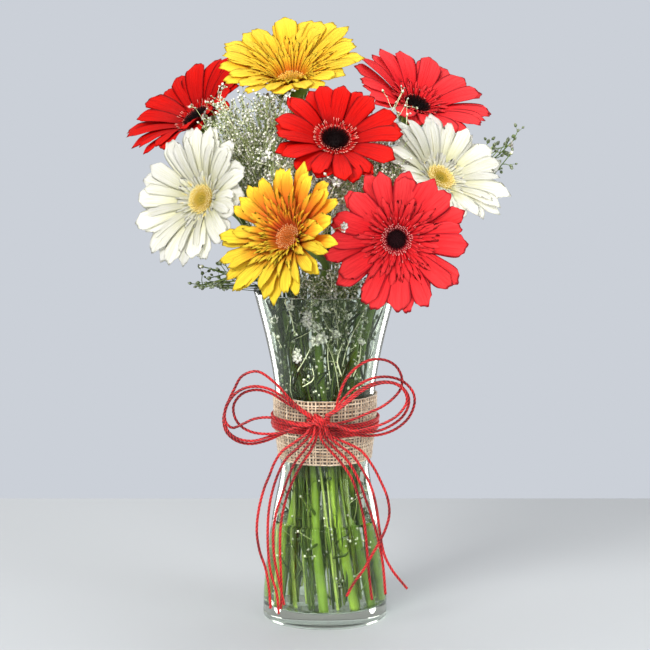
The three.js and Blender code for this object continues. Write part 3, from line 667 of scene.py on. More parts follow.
# Discs
# The middle of a gerbera is a low dome of tiny tubular florets set in spirals. The closed ones are in the
# dip at the middle, and those of the outer rings are open, with pale tips.
DISC_RADIUS = 10.2
DISC_BASE = 3.5
DISC_FLORETS = 340
FRINGE_FLORETS = 90
GOLDEN_ANGLE = 2.399963
# the florets' own sizes are in metres
FLORET_LONG = 0.0026
FLORET_ROOT = 0.00042
FLORET_TOP = 0.00022
DOME_HEIGHT = 0.008
BED_OUTLINE = [(0, 2.4), (9.2, 2.4), (10.0, 3.2), (9.6, 4.3), (7.5, 5.2), (4.5, 5.0), (2, 4.6), (0, 4.5)]


def group_of(name, **kinds):
    """A geometry tree with named inputs, its input and output nodes, and the identifier of each input"""
    tree = bpy.data.node_groups.new(name, "GeometryNodeTree")
    keys = {}
    for label, kind in kinds.items():
        socket = tree.interface.new_socket(label, in_out="INPUT", socket_type=f"NodeSocket{kind}")
        keys[label] = socket.identifier
    tree.interface.new_socket("Geometry", in_out="OUTPUT", socket_type="NodeSocketGeometry")
    return tree, add(tree, "NodeGroupInput").outputs, add(tree, "NodeGroupOutput"), keys


def grown(name, mesh, grower, finish, **values):
    """The plain mesh that a geometry tree makes from a mesh, as a new object with its finish"""
    tree, keys = grower
    seedling = bpy.data.objects.new(name + "_seedling", mesh)
    scene.collection.objects.link(seedling)
    grow = seedling.modifiers.new("grow", "NODES")
    grow.node_group = tree
    for label, value in {**values, "Finish": finish}.items():
        grow[keys[label]] = value
    evaluated = seedling.evaluated_get(bpy.context.evaluated_depsgraph_get())
    plain = bpy.data.meshes.new_from_object(evaluated)
    bpy.data.objects.remove(seedling)
    plain.name = name
    if not plain.materials:
        plain.materials.append(finish)
    made = bpy.data.objects.new(name, plain)
    scene.collection.objects.link(made)
    return made


def drawn(tree, low, high, seed):
    """A number drawn anew for each point"""
    limits = {2: low, 3: high, "Seed": seed}
    return add(tree, "FunctionNodeRandomValue", limits, data_type="FLOAT").outputs[1]


def drawn_vector(tree, reach, seed):
    """A vector drawn anew for each point, with each part from -reach to reach"""
    limits = {"Min": (-reach,) * 3, "Max": (reach,) * 3, "Seed": seed}
    return add(tree, "FunctionNodeRandomValue", limits, data_type="FLOAT_VECTOR").outputs[0]


def held(tree, geometry, label, value):
    """The geometry with a value held under a label at each point"""
    inputs = {"Geometry": geometry, "Name": label, "Value": value}
    kept = add(tree, "GeometryNodeStoreNamedAttribute", inputs, data_type="FLOAT", domain="POINT")
    return kept.outputs[0]


def planted(tree, points, shape, way, scale):
    """A copy of a shape at each point, with its Z axis turned along the way"""
    aim = add(tree, "FunctionNodeAlignRotationToVector", {"Vector": way}, axis="Z").outputs[0]
    inputs = {"Points": points, "Instance": shape, "Rotation": aim, "Scale": scale}
    return add(tree, "GeometryNodeInstanceOnPoints", inputs).outputs[0]


def give(tree, copies, into, out):
    """The tree gives the copies as real faces with its finish"""
    real = add(tree, "GeometryNodeRealizeInstances", {0: copies}).outputs[0]
    worn = add(tree, "GeometryNodeSetMaterial", {"Geometry": real, "Material": into["Finish"]})
    tree.links.new(worn.outputs[0], out.inputs[0])


def floret_tree():
    """Florets on a spiral over a dome with a dip, taller towards the rim, and a fringe of long, thin ones"""
    tree, into, out, keys = group_of(
        "florets", Geometry="Geometry", Florets="Int", Radius="Float", Base="Float", Fringe="Int", Seed="Int",
        Finish="Material")
    index = add(tree, "GeometryNodeInputIndex").outputs[0]
    turn = times(tree, index, GOLDEN_ANGLE)
    cosine = maths(tree, "COSINE", turn)
    sine = maths(tree, "SINE", turn)

    def aside(radius, height):
        """A place or a way along the turn of each floret"""
        return combined(tree, times(tree, radius, cosine), times(tree, radius, sine), height)

    def row(count, place, ring):
        """Points put in their places, which hold how far out on the disc they are"""
        line = add(tree, "GeometryNodeMeshLine", {"Count": count}).outputs[0]
        spots = add(tree, "GeometryNodeSetPosition", {"Geometry": line, "Position": place}).outputs[0]
        return held(tree, spots, "ring", ring)

    # a floret is a five-sided tube that narrows to its tip
    tube = add(tree, "GeometryNodeMeshCone", {
        "Vertices": 5, "Side Segments": 2, "Radius Top": FLORET_TOP, "Radius Bottom": FLORET_ROOT,
        "Depth": FLORET_LONG})
    position = add(tree, "GeometryNodeInputPosition").outputs[0]
    up = add(tree, "ShaderNodeSeparateXYZ", {0: position}).outputs["Z"]
    floret = held(tree, tube.outputs["Mesh"], "tip", span(tree, up, 0.0, FLORET_LONG))

    ring = maths(tree, "SQRT", maths(tree, "DIVIDE", index, into["Florets"]))
    dome = add(tree, "ShaderNodeFloatCurve", {"Value": ring})
    line = dome.mapping.curves[0]
    line.points[0].location = (0, 0.10)
    line.points[1].location = (1, 0.0)
    for spot in ((0.35, 0.14), (0.6, 0.22), (0.82, 0.24)):
        line.points.new(*spot)
    dome.mapping.update()
    height = maths(tree, "MULTIPLY_ADD", dome.outputs[0], DOME_HEIGHT, into["Base"])
    place = aside(times(tree, ring, into["Radius"]), height)
    place = maths(tree, "ADD", place, drawn_vector(tree, 0.00018, into["Seed"]), kind="VectorMath")
    way = maths(tree, "ADD", aside(ring, 1.15), drawn_vector(tree, 0.22, into["Seed"]), kind="VectorMath")
    tall = span(tree, ring, 0.35, 1.0, 0.55, 1.25)
    size = combined(tree, tall, tall, times(tree, tall, drawn(tree, 0.8, 1.2, into["Seed"])))
    inner = planted(tree, row(into["Florets"], place, ring), floret, way, size)

    # the outermost florets are long and thin, and lean out over the petals
    place = aside(drawn(tree, 0.0082, 0.0102, into["Seed"]), into["Base"])
    way = combined(tree, cosine, sine, drawn(tree, 0.15, 0.95, into["Seed"]))
    size = combined(tree, 0.85, 0.85, drawn(tree, 2.1, 3.7, into["Seed"]))
    fringe = planted(tree, row(into["Fringe"], place, 1.0), floret, way, size)
    joined = add(tree, "GeometryNodeJoinGeometry")
    for florets in (inner, fringe):
        tree.links.new(florets, joined.inputs[0])
    give(tree, joined.outputs[0], into, out)
    return tree, keys


def floret_finish(name, stages, tips, pale_from):
    """Waxy florets, coloured from the middle of the disc to its rim, with pale tips on the open ones"""
    finish, tree, shader = new_finish(name, Roughness=0.6, Specular_IOR_Level=0.15)
    ring = attribute(tree, "ring")
    outer = span(tree, ring, pale_from, pale_from + 0.12)
    pale = times(tree, outer, span(tree, attribute(tree, "tip"), 0.7))
    tree.links.new(blend(tree, pale, ramp(tree, ring, stages), tint(*tips)), shader.inputs["Base Color"])
    return finish


DISC_FINISHES = {
    "dark_disc": floret_finish(
        "dark_florets", [(0.5, (14, 4, 5)), (0.85, (36, 5, 6)), (1.0, (196, 26, 26))],
        tips=(244, 180, 160), pale_from=0.86),
    "rose_disc": floret_finish(
        "rose_florets", [(0.4, (12, 4, 7)), (0.62, (40, 6, 12)), (0.8, (190, 30, 42))],
        tips=(246, 168, 162), pale_from=0.62),
    "gold_disc": floret_finish(
        "gold_florets", [(0.2, (126, 116, 34)), (0.55, (208, 154, 42)), (1.0, (238, 186, 66))],
        tips=(255, 232, 140), pale_from=0.3),
    "yellow_disc": floret_finish(
        "yellow_florets", [(0.2, (92, 98, 26)), (0.5, (200, 168, 60)), (1.0, (240, 218, 128))],
        tips=(255, 246, 190), pale_from=0.4),
    "amber_disc": floret_finish(
        "amber_florets", [(0.2, (120, 72, 24)), (0.55, (200, 104, 40)), (1.0, (228, 128, 58))],
        tips=(252, 214, 150), pale_from=0.3),
}
DISC_SLOTS = {"rose_disc": "dark_disc", "gold_disc": "amber_disc"}
DISC_KINDS = {
    "yellow_top": "gold_disc", "white_left": "yellow_disc", "white_right": "yellow_disc",
    "gold_front": "amber_disc", "rose_front": "rose_disc",
}
florets = floret_tree()
for seed, (name, head) in enumerate(HEADS.items(), 1):
    kind = DISC_KINDS.get(name, "dark_disc")
    slot = DISC_SLOTS.get(kind, kind)
    made = grown(
        f"{name}_florets", bpy.data.meshes.new("empty"), florets, DISC_FINISHES[kind], Florets=DISC_FLORETS,
        Fringe=FRINGE_FLORETS, Radius=DISC_RADIUS * MM, Base=(DISC_BASE + 0.4) * MM, Seed=seed)
    centre, axes = head_frame(head)
    made.data.transform(Matrix([[*axes[:, k], centre[k] * MM] for k in range(3)] + [[0, 0, 0, 1]]))
    settle(made, slot, [f"{name}_disc"])
    bed = on_head(turned(BED_OUTLINE, 40, ring=0.55, tip=0.0), head)
    piece(f"{name}_disc_bed", [bed], [DISC_FINISHES[kind]], slot, [])

# Filler sprays
# Fine airy filler between the blooms: bundles of thin green-grey stems that stand in the water, fork again
# and again from the neck up, and end in tiny pale buds, with a few open white blossoms.
SPRAY_WAIST_RADIUS = 25.5
SPRAY_FOOT_RADIUS = 29
NECK_TWIGS = 40
NECK_SHARE = 0.62
NECK_SPAN = (150, 240)
WATER_SPAN = (14, 118)
TRIES = 40
OPEN_SHARE = 0.012
OPEN_LOWEST = 150
CLOSE_ENOUGH = 6
# a twig leaves its stem at most so far below its end, and above the rim where it ends outside the mouth
TWIG_DROP = 75
OVER_RIM = 254
MOUTH_RADIUS = 44
# waist is an angle, half is how far the buds spread from the middle of the cloud, extra are single tips that
# reach further, and young is the share of the buds that are unripe
Spray = namedtuple("Spray", "waist mouth over cloud half twigs extra stems stout unripe young",
                   defaults=((), 9, 1.0, 0.2, 0.35))
SPRAYS = {
    "spray_left": Spray(202, (-38, 17, 245), (-41, 24, 305), (-52, 4, 358), (28, 16, 37), 262, [
        (-88, 20, 378), (-84, 22, 381), (-80, 24, 379), (-91, 17, 376), (-84, 15, 374), (-94, 18, 373),
        (-76, 20, 380), (-87, 14, 371)], stems=15),
    "spray_front": Spray(261, (-22, -22, 245), (-30, -36, 295), (-10, -47, 338), (33, 11, 18), 160, [
        (-5, -62, 343), (8, -64, 338), (13, -84, 309)]),
    "spray_right": Spray(322.5, (12, -12, 245), (30, -16, 305), (48, -28, 348), (22, 13, 23), 148, [
        (57, 4, 397), (61, 8, 391), (52, 2, 389), (54, -2, 382), (50, -8, 376), (50, -48, 341),
        (55, -46, 347), (46, -52, 338), (58, -40, 352), (61, -38, 345)]),
    "spray_right_reach": Spray(359, (42, 14, 245), (84, 38, 308), (126, 20, 356), (17, 10, 12), 9, [
        (141, 16, 361), (138, 8, 351)], stems=4, stout=1.8, unripe=0.85, young=0.95),
    "spray_left_reach": Spray(223, (-36, -18, 245), (-56, -26, 268), (-84, -32, 264), (17, 9, 9), 11,
                              stems=3, stout=1.8, unripe=0.85, young=0.95),
    "spray_neck": Spray(293.5, (8, -24, 200), (9, -33, 225), (8, -43, 262), (25, 12, 27), 92, [
        (-2, -66, 264), (6, -64, 272), (12, -62, 283), (0, -68, 260), (16, -60, 264), (8, -66, 261),
        (-6, -66, 276), (4, -69, 284)], unripe=0.6, young=0.7),
    "spray_back": Spray(98, (8, 40, 245), (16, 66, 300), (22, 88, 346), (22, 13, 24), 80),
    "spray_back_left": Spray(152, (-18, 40, 245), (-28, 66, 290), (-34, 88, 328), (22, 13, 22), 70),
}
# pale twigs that curl in the neck, just behind the glass, each with buds along it
CURLS = [
    [(-9, -30, 262), (-9.8, -38, 250), (-8.8, -37, 234)], [(3, -30, 262), (6.5, -38, 244), (10.7, -36, 221)],
    [(5.4, -37, 246), (11, -36, 243), (16, -34, 237)], [(-20, -31, 194), (-15, -33, 203), (-11.5, -34, 210)],
    [(-16, -28, 182), (-8.5, -30, 188), (-9, -32, 197)], [(20, -26, 188), (25, -27, 204), (26, -28, 222)],
    [(2, -36, 250), (5, -52, 263), (3, -66, 274)], [(10, -36, 248), (14, -50, 260), (10, -64, 268)],
    [(-4, -34, 250), (-8, -50, 260), (-2, -63, 266)], [(-30, -22, 246), (-25, -28, 236), (-22, -28, 222)],
    [(12, -28, 190), (9, -31, 202), (12, -33, 214)],
]
# the tip nearest to each of these places, if it is close enough, bears an open blossom
OPEN_SPOTS = [
    (-5, -62, 343), (8, -64, 338), (13, -84, 309), (-63, -24, 333), (0, -30, 181), (21, -30, 215),
    (29, -27, 217), (18, -34, 236), (-29, -24, 243), (-4, -35, 221), (-19, -31, 205), (-84, 15, 374),
    (-88, 20, 378),
]
# the twigs of a spray so far, the tips where its buds come as places and ways, and its random draws
Growth = namedtuple("Growth", "parts tips dice")


def drawn_in(points, share):
    """The points, brought nearer to the axis by a share"""
    return points * np.stack([share, share, np.ones(len(points))], 1)


def kept_in_glass(points, spare):
    """The points, drawn in where they would come nearer to the glass than spare"""
    points = np.asarray(points, float)
    out = np.hypot(points[:, 0], points[:, 1])
    room = glass_radius(np.minimum(points[:, 2], 250)) - GLASS_WALL - spare
    return drawn_in(points, np.where(points[:, 2] < 256, np.minimum(1, room / np.maximum(out, 1e-6)), 1))


bpy.context.view_layer.update()
seen_now = bpy.context.evaluated_depsgraph_get()
blooms = [BVHTree.FromObject(bpy.data.objects[f"{name}_ray_petals"], seen_now) for name in HEADS]


def clear_of_petals(line):
    """Whether a line passes no petal, and ends a little way off them"""
    line = [Vector(point * MM) for point in line]
    for bloom in blooms:
        for start, end in zip(line, line[1:]):
            if bloom.ray_cast(start, end - start, (end - start).length)[0] is not None:
                return False
        if bloom.find_nearest(line[-1], 0.0014)[0] is not None:
            return False
    return True


def bud_tree():
    """Buds at the tips of twigs, each turned along its twig and of its own size"""
    tree, into, out, keys = group_of("buds", Geometry="Geometry", Bud="Object", Finish="Material")
    way = add(tree, "GeometryNodeInputNamedAttribute", {"Name": "way"}, data_type="FLOAT_VECTOR").outputs[0]
    size = add(tree, "GeometryNodeInputNamedAttribute", {"Name": "size"}, data_type="FLOAT").outputs[0]
    bud = add(tree, "GeometryNodeObjectInfo", {"Object": into["Bud"]}).outputs["Geometry"]
    give(tree, planted(tree, into["Geometry"], bud, way, size), into, out)
    return tree, keys


def loose_shape(name, parts):
    """An object from parts, with their values, that is in no scene and no piece wears yet"""
    made = piece(name, parts, [], None, [])
    mesh = made.data
    bpy.data.objects.remove(made)
    return bpy.data.objects.new(name + "_shape", mesh)


filler, tree, shader = new_finish("filler_green", Roughness=0.5)
tone = attribute(tree, "tone")
green = ramp(tree, tone, [
    (0.0, (26, 44, 8)), (0.35, (80, 104, 28)), (0.7, (162, 174, 114)), (1.0, (232, 233, 206))])
# painted shade: the filler is darkened where it crowds in the neck and lies in shade, less so lower down in
# the water, apart from the palest twigs
filler_neck_shade = ramp(tree, height_share(tree, 0.3), [
    (0.3, (0.60, 0.66, 0.36)), (0.5, (0.10, 0.14, 0.03)), (0.8, (0.11, 0.15, 0.035)), (1.0, (1, 1, 1))],
    as_given)
lit = blend(tree, span(tree, tone, 0.9, 0.94), filler_neck_shade, as_given(0.72, 0.72, 0.66))
neck_shaded_green = maths(tree, "MULTIPLY", green, lit, kind="VectorMath")
shade = span(tree, noise(tree, 120.0, 3.0), 0.3, 0.7, 1.1, 1.7)
tree.links.new(scaled(tree, neck_shaded_green, shade), shader.inputs["Base Color"])

bud_skin, tree, shader = new_finish("bud_skin", Roughness=0.55)
ripe = ramp(
    tree, attribute(tree, "high"), [(0.1, (62, 84, 34)), (0.38, (184, 190, 142)), (0.7, (250, 248, 238))])
aged = blend(tree, attribute(tree, "unripe"), ripe, tint(74, 94, 46))
shade = span(tree, noise(tree, 420.0, 1.0), 0.38, 0.55, 0.45, 1.0)
tree.links.new(scaled(tree, aged, shade), shader.inputs["Base Color"])

bud_points, bud_faces, _ = turned([(0, -0.4), (0.62, 0.15), (0.6, 0.9), (0, 1.6)], 5)
bud_shape = loose_shape("bud", [(bud_points, bud_faces, {"high": (bud_points[:, 2] + 0.4) / 2})])
blossom = []
s = np.linspace(0, 1, 4)[:, None]
c = np.linspace(-1, 1, 3)[None]
for ring, (count, length, lift) in enumerate([(6, 2.7, 0.55), (5, 2.0, 1.1)]):
    for k in range(count):
        turn = 2 * math.pi * (k + 0.5 * ring) / count
        half = 0.36 * length * np.interp(s, [0, 0.5, 0.85, 1], [0.3, 0.9, 1.0, 0.8])
        out = 0.2 + length * (s - 0.08 * c**2 * s)
        top = around(turn, out, c * half, 0.8 + length * lift * (s - 0.45 * s**2) + 0.15 * c**2)
        blossom.append(leaf_shell(top, 0.08, high=0.6 + 0.4 * s))
blossom.append(turned([(0, -0.3), (0.5, 0.0), (0.75, 0.8), (0, 1.25)], 6, high=0.3))
blossom_shape = loose_shape("blossom", blossom)
buds = bud_tree()


def strayed(way, amount, dice):
    """A way turned aside at random"""
    return way + amount * np.linalg.norm(way) * dice.uniform(-1, 1, 3)


def thin_twig(growth, start, way, length, tone, radius):
    """Adds a short bent twig and gives its tip and its way there, or None where a petal is in its way"""
    way = way / np.linalg.norm(way)
    end = start + way * length
    middle = start + 0.5 * length * way + 0.08 * length * growth.dice.uniform(-1, 1, 3)
    line = kept_in_glass([start, middle, end], 0.9)
    if not clear_of_petals(line):
        return None
    growth.parts.append(rod(line, [radius, radius * 0.85, radius * 0.7], [1.0] * 3, tone=tone))
    growth.tips.append((line[-1], line[-1] - line[1]))
    return growth.tips[-1]


def forked_tip(growth, twig, stray, longest, tone, radius):
    """Adds up to two smaller twigs at the tip of a twig"""
    tip, way = twig
    dice = growth.dice
    for _ in range(dice.integers(0, 3)):
        thin_twig(growth, tip, strayed(way, stray, dice), dice.uniform(3, longest), tone, radius)


def blade(start, way, length, dice):
    """A narrow dark green leaf that arches from its stem"""
    way = way / np.linalg.norm(way)
    side = np.cross(way, dice.uniform(-1, 1, 3))
    side /= np.linalg.norm(side)
    up = np.cross(side, way)
    s = np.linspace(0, 1, 7)[:, None, None]
    c = np.linspace(-1, 1, 3)[None, :, None]
    wide = 1.1 * np.sin(np.pi * (0.06 + 0.9 * s)) ** 0.8
    middle = start + length * s * way + 0.22 * length * s**2 * up
    grid = middle + c * wide * side + 0.35 * c**2 * up
    grid = kept_in_glass(grid.reshape(-1, 3), 0.7).reshape(grid.shape)
    return leaf_shell(grid, 0.18, ridge=1.0, tone=dice.uniform(0.1, 0.45))


def spray_stems(growth, item):
    """Adds the stems of a spray, the first along its route and the rest about it, and gives their lines"""
    dice = growth.dice
    rest = [item.mouth, item.over, item.cloud]
    main = rising_route((item.waist, SPRAY_WAIST_RADIUS), SPRAY_FOOT_RADIUS, rest, 6.0)
    share = np.linspace(0, 1, len(main))
    lines = []
    for k in range(item.stems):
        inward = 1 - 0.5 * dice.random() * (share < 0.45) * (k > 0)
        swing = math.radians(dice.uniform(-24, 24)) * np.clip(1.6 - 2.2 * share, 0, 1) * (k > 0)
        phase = dice.uniform(0, 2 * np.pi)
        spread = (1.2 + 5.5 * share**2 + 0.8 * np.sin(9 * share + phase)) * (k > 0)
        drift = around(phase + 5 * share * dice.uniform(0.5, 1.2), spread, 0, 0)
        line = drawn_in(around(swing, main[:, 0], main[:, 1], main[:, 2]), inward) + drift
        foot = GLASS_FLOOR + 0.4 + (dice.uniform(0, 9) if k else 0)
        line = cut_level(smooth_route(kept_in_glass(line, 1.4), 6.5), foot)
        line = line[:len(line) - (dice.integers(1, 9) if k else 0)]
        lines.append(line)
        thick = dice.uniform(0.55, 1.0) if k else 1.15
        growth.parts.append(
            rod(line, np.linspace(thick, 0.42, len(line)), [1.0] * 5, tone=dice.uniform(0.05, 0.8)))
    growth.tips.append((lines[0][-1], lines[0][-1] - lines[0][-2]))
    return lines


def free_twig(dice, lines, first, end, tries):
    """A twig to its end from a stem below it that passes no petal, or None after so many tries"""
    for attempt in range(tries):
        line = lines[(first + attempt) % len(lines)]
        lowest = max(end[2] - TWIG_DROP, OVER_RIM if np.hypot(end[0], end[1]) > MOUTH_RADIUS else 0)
        reach = line[(line[:, 2] > lowest) & (line[:, 2] < end[2] - 8)]
        reach = reach if len(reach) else line[line[:, 2] > min(lowest, 250)][-5:]
        if not len(reach):
            continue
        start = reach[dice.integers(len(reach))]
        bow = np.cross(end - start, dice.uniform(-1, 1, 3)) * (0.1 + 0.01 * attempt)
        twig = smooth_route([start, start + 0.45 * (end - start) + bow, end], 5.0)
        if clear_of_petals(twig):
            return twig
    return None


def cloud_twigs(growth, item, lines):
    """Adds twigs from the stems out to places in the cloud, and forks along each of them"""
    dice = growth.dice
    ends = [np.array(item.cloud) + np.array(item.half) * dice.uniform(-1, 1, 3) for _ in range(item.twigs)]
    for k, end in enumerate(ends + [np.array(tip, float) for tip in item.extra]):
        twig = free_twig(dice, lines, k, end, 1 if k < len(ends) else TRIES)
        if twig is None:
            continue
        tone = dice.uniform(0.45, 1.0) / item.stout
        thick = item.stout * np.linspace(0.42, 0.25, len(twig))
        growth.parts.append(rod(twig, thick, [1.0] * 3, tone=tone))
        growth.tips.append((end, twig[-1] - twig[-2]))
        way = (end - twig[0]) / np.linalg.norm(end - twig[0])
        for _ in range(dice.integers(3, 6)):
            near = twig[dice.integers(len(twig) // 3, len(twig))]
            aside = strayed(way, 1.1, dice)
            fork = thin_twig(growth, near, aside, dice.uniform(5, 13), tone, 0.24 * item.stout)
            if fork is not None:
                forked_tip(growth, fork, 0.8, 6, tone, 0.18)


def neck_twigs(growth, lines):
    """Adds short twigs and narrow leaves all along the neck of the vase, and a few in the water"""
    dice = growth.dice
    for _ in range(NECK_TWIGS):
        line = lines[dice.integers(len(lines))]
        low, high = NECK_SPAN if dice.random() < NECK_SHARE else WATER_SPAN
        stretch = line[(line[:, 2] > low) & (line[:, 2] < high)]
        if not len(stretch):
            continue
        start = stretch[dice.integers(len(stretch))]
        way = strayed(np.array([0, 0, 1.0]), 0.75, dice)
        tone = dice.uniform(0.2, 1.0)
        twig = thin_twig(growth, start, way, dice.uniform(10, 30), tone, 0.3)
        if twig is not None:
            forked_tip(growth, twig, 0.9, 9, tone, 0.2)
            growth.parts.append(blade(start, way + 0.4 * dice.uniform(-1, 1, 3), dice.uniform(14, 34), dice))


def curled_twigs(growth):
    """Adds the pale twigs that curl in the neck"""
    dice = growth.dice
    for curl in CURLS:
        twig = kept_in_glass(smooth_route(curl, 2.0), 0.8)
        growth.parts.append(rod(twig, np.linspace(0.5, 0.3, len(twig)), [1.0] * 5, tone=1.0))
        growth.tips.append((twig[-1], twig[-1] - twig[-2]))
        for near in twig[3::3]:
            thin_twig(growth, near, dice.uniform(-1, 1, 3), dice.uniform(2.5, 6), 1.0, 0.22)


def bear(name, shape, spots, **values):
    """Buds or blossoms at the spots, with the way, the size and the unripeness of each"""
    points = bpy.data.meshes.new("tips")
    points.from_pydata((spots * MM).tolist(), [], [])
    for label, given in values.items():
        kind, field = ("FLOAT_VECTOR", "vector") if given.ndim == 2 else ("FLOAT", "value")
        column = points.attributes.new(label, kind, "POINT").data
        column.foreach_set(field, given.astype(np.float32).ravel())
    settle(grown(name, points, buds, bud_skin, Bud=shape), "filler", [])


for number, (name, item) in enumerate(SPRAYS.items()):
    dice = np.random.default_rng(40 + number)
    growth = Growth([], [], dice)
    lines = spray_stems(growth, item)
    cloud_twigs(growth, item, lines)
    neck_twigs(growth, lines)
    if name == "spray_neck":
        curled_twigs(growth)
    piece(f"{name}_twigs", growth.parts, [filler], "filler", [name])
    spots, ways = (np.array(column) for column in zip(*growth.tips))
    is_open = dice.random(len(spots)) < OPEN_SHARE
    for spot in OPEN_SPOTS:
        far = np.linalg.norm(spots - spot, axis=1)
        is_open |= far <= min(CLOSE_ENOUGH, far.min())
    is_open &= spots[:, 2] > OPEN_LOWEST
    # an open blossom turns outwards, away from the middle of the arrangement
    outward = spots[is_open] * (1, 1, 0)
    ways[is_open] /= np.linalg.norm(ways[is_open], axis=1, keepdims=True)
    ways[is_open] += 1.6 * outward / np.linalg.norm(outward, axis=1, keepdims=True)
    size = item.stout**0.5
    for kind, shape, chosen, low, high in (
        ("buds", bud_shape, ~is_open, 0.95 * size, 1.75 * size),
        ("blossoms", blossom_shape, is_open, 1.1, 1.7),
    ):
        sizes = dice.uniform(low, high, chosen.sum())
        # buds below 250 mm, inside the neck, are drawn a little greener and darker
        unripe = item.unripe * (dice.random(chosen.sum()) < item.young) + 0.12 * (spots[chosen, 2] < 250)
        unripe = unripe * (kind == "buds")
        bear(f"{name}_{kind}", shape, spots[chosen], way=ways[chosen], size=sizes, unripe=unripe)

# Burlap band
# A strip of open jute weave wrapped round the waist of the vase. Its yarns are slightly uneven, and a thin
# dark brown sheet behind them, painted shade that stands in for the dark seen through the gaps, is what shows
# between the yarns.
BAND_LOW = 123.0
BAND_HIGH = 172.0
BAND_RADIUS = 36
YARN_PITCH = 2.6
YARN_SECTION = [1.0] * 4
WEAVE_OUT = 1.12
WEAVE_DEPTH = 0.26
GAP_SHADE_SIDES = 120
GAP_SHADE_OUT = 0.35


def yarn_finish(name, dark, light):
    """Dull, hairy jute, with a shade of its own for each yarn, and the dark sheet of painted shade behind the
    yarns
    """
    finish, tree, shader = new_finish(name, Roughness=0.85, Sheen_Weight=0.7, Sheen_Roughness=0.5)
    color = ramp(tree, own_shade(tree, 260.0), [(0.2, dark), (0.75, light)])
    tree.links.new(color, shader.inputs["Base Color"])
    roughen(tree, shader, noise(tree, 2600.0, 2.0), 0.6, 0.0003)
    return finish


jute = yarn_finish("jute_yarn", (156, 124, 90), (242, 220, 188))
# painted shade: a dark brown finish for the sheet that shows through the gaps of the weave
gap_shade_finish = yarn_finish("jute_gap_shade", (52, 38, 26), (96, 72, 48))
# painted shade: a thin closed sheet just outside the glass, behind the yarns, for the dark seen between them
heights = np.linspace(BAND_LOW + 0.5, BAND_HIGH - 0.5, 14)
inner_side = [(glass_radius(z) + GAP_SHADE_OUT, z) for z in heights]
outer_side = [(glass_radius(z) + 2 * GAP_SHADE_OUT, z) for z in heights[::-1]]
lining = np.array(inner_side + outer_side)
angles = 2 * np.pi * np.arange(GAP_SHADE_SIDES) / GAP_SHADE_SIDES
points = around(angles, lining[:, :1], 0, lining[:, 1:]).reshape(-1, 3)
index = np.arange(len(points)).reshape(len(lining), GAP_SHADE_SIDES)
after = np.roll(index, -1, axis=1)
quads = np.stack([index, np.roll(index, -1, axis=0), np.roll(after, -1, axis=0), after], 2).reshape(-1, 4)
shade_sheet = (points, [quads], evenly(points, tone=0.4))
gap_shade_sheet = piece("burlap_cloth", [shade_sheet], [gap_shade_finish], "burlap", ["burlap_band"])

dice = np.random.default_rng(5)
yarns = []
rows = round((BAND_HIGH - BAND_LOW) / YARN_PITCH)
columns = 2 * round(2 * np.pi * BAND_RADIUS / YARN_PITCH / 2)
woven = BAND_HIGH - BAND_LOW - 0.8
crossings = np.arange(2 * columns)
turn = np.pi * crossings / columns
for row in range(rows + 1):
    tone = dice.uniform(0, 1)
    level = BAND_LOW + 0.6 + woven * row / rows + dice.uniform(-0.25, 0.25)
    z = level + 0.22 * np.sin(3 * turn + dice.uniform(0, 6)) + 0.12 * np.sin(11 * turn + dice.uniform(0, 6))
    radius = glass_radius(z) + WEAVE_OUT + WEAVE_DEPTH * np.cos(np.pi * (crossings + row * 2) / 2)
    line = around(turn, radius, 0, z)
    thick = 0.65 * (1 + 0.16 * np.sin(5 * turn + dice.uniform(0, 6)) + 0.08 * dice.uniform(-1, 1, len(turn)))
    yarns.append(rod(np.concatenate([line, line[:1]]), np.append(thick, thick[0]), YARN_SECTION, tone=tone))
crossings = np.arange(2 * rows + 1)
for column in range(columns):
    tone = dice.uniform(0, 1)
    z = BAND_LOW + 0.4 + woven * crossings / (2 * rows)
    sway = 0.12 * np.sin(crossings / 9 + dice.uniform(0, 6))
    turn = 2 * np.pi * (column + sway + 0.1 * dice.uniform(-1, 1)) / columns
    over = np.cos(np.pi * (crossings / 2 + column)) * np.abs(np.cos(np.pi * crossings / 2))
    radius = glass_radius(z) + WEAVE_OUT - WEAVE_DEPTH * over
    z[0] -= dice.uniform(0, 0.5)
    z[-1] += dice.uniform(0, 0.5)
    thick = 0.61 * (1 + 0.14 * np.sin(crossings / 5 + dice.uniform(0, 6)))
    yarns.append(rod(around(turn, radius, 0, z), thick, YARN_SECTION, tone=tone))
threads = piece("burlap_threads", yarns, [jute], "burlap", [])

# Twine wrap
# Red twine of three plies twisted together, 2.2 mm thick. It is wound five times round the burlap,
# each turn close on the last, and tied in front.
TWINE = 2.2
TWINE_LAY = 9.0
WRAP_TURNS = 5
WRAP_LOW = 145.0
WRAP_OUT = 2.05
PLIES = [1.0, 0.94, 0.8, 0.94] * 3
KNOT = np.array([-4.8, -45.7, 159.0])

twine_red, tree, shader = new_finish(
    "red_twine", Roughness=0.42, Sheen_Weight=0.25, Sheen_Roughness=0.4, Sheen_Tint=tint(255, 190, 180))
# painted shade: the twine is darker in the grooves between its plies
groove_shade = span(tree, attribute(tree, "ridge"), 0.82, 1.0, -0.45, 0.3)
patches = span(tree, noise(tree, 38.0, 1.0), 0.38, 0.58, -0.3, 0.06)
shade = maths(tree, "ADD", maths(tree, "ADD", noise(tree, 300.0, 4.0), groove_shade), patches)
tree.links.new(ramp(tree, shade, [(0.1, (82, 2, 14)), (0.75, (226, 36, 38))]), shader.inputs["Base Color"])
roughen(tree, shader, noise(tree, 2200.0, 2.0), 0.35, 0.0003)


def twine(path):
    """A run of three-ply twine along a path"""
    return rod(path, TWINE / 2, PLIES, TWINE_LAY)


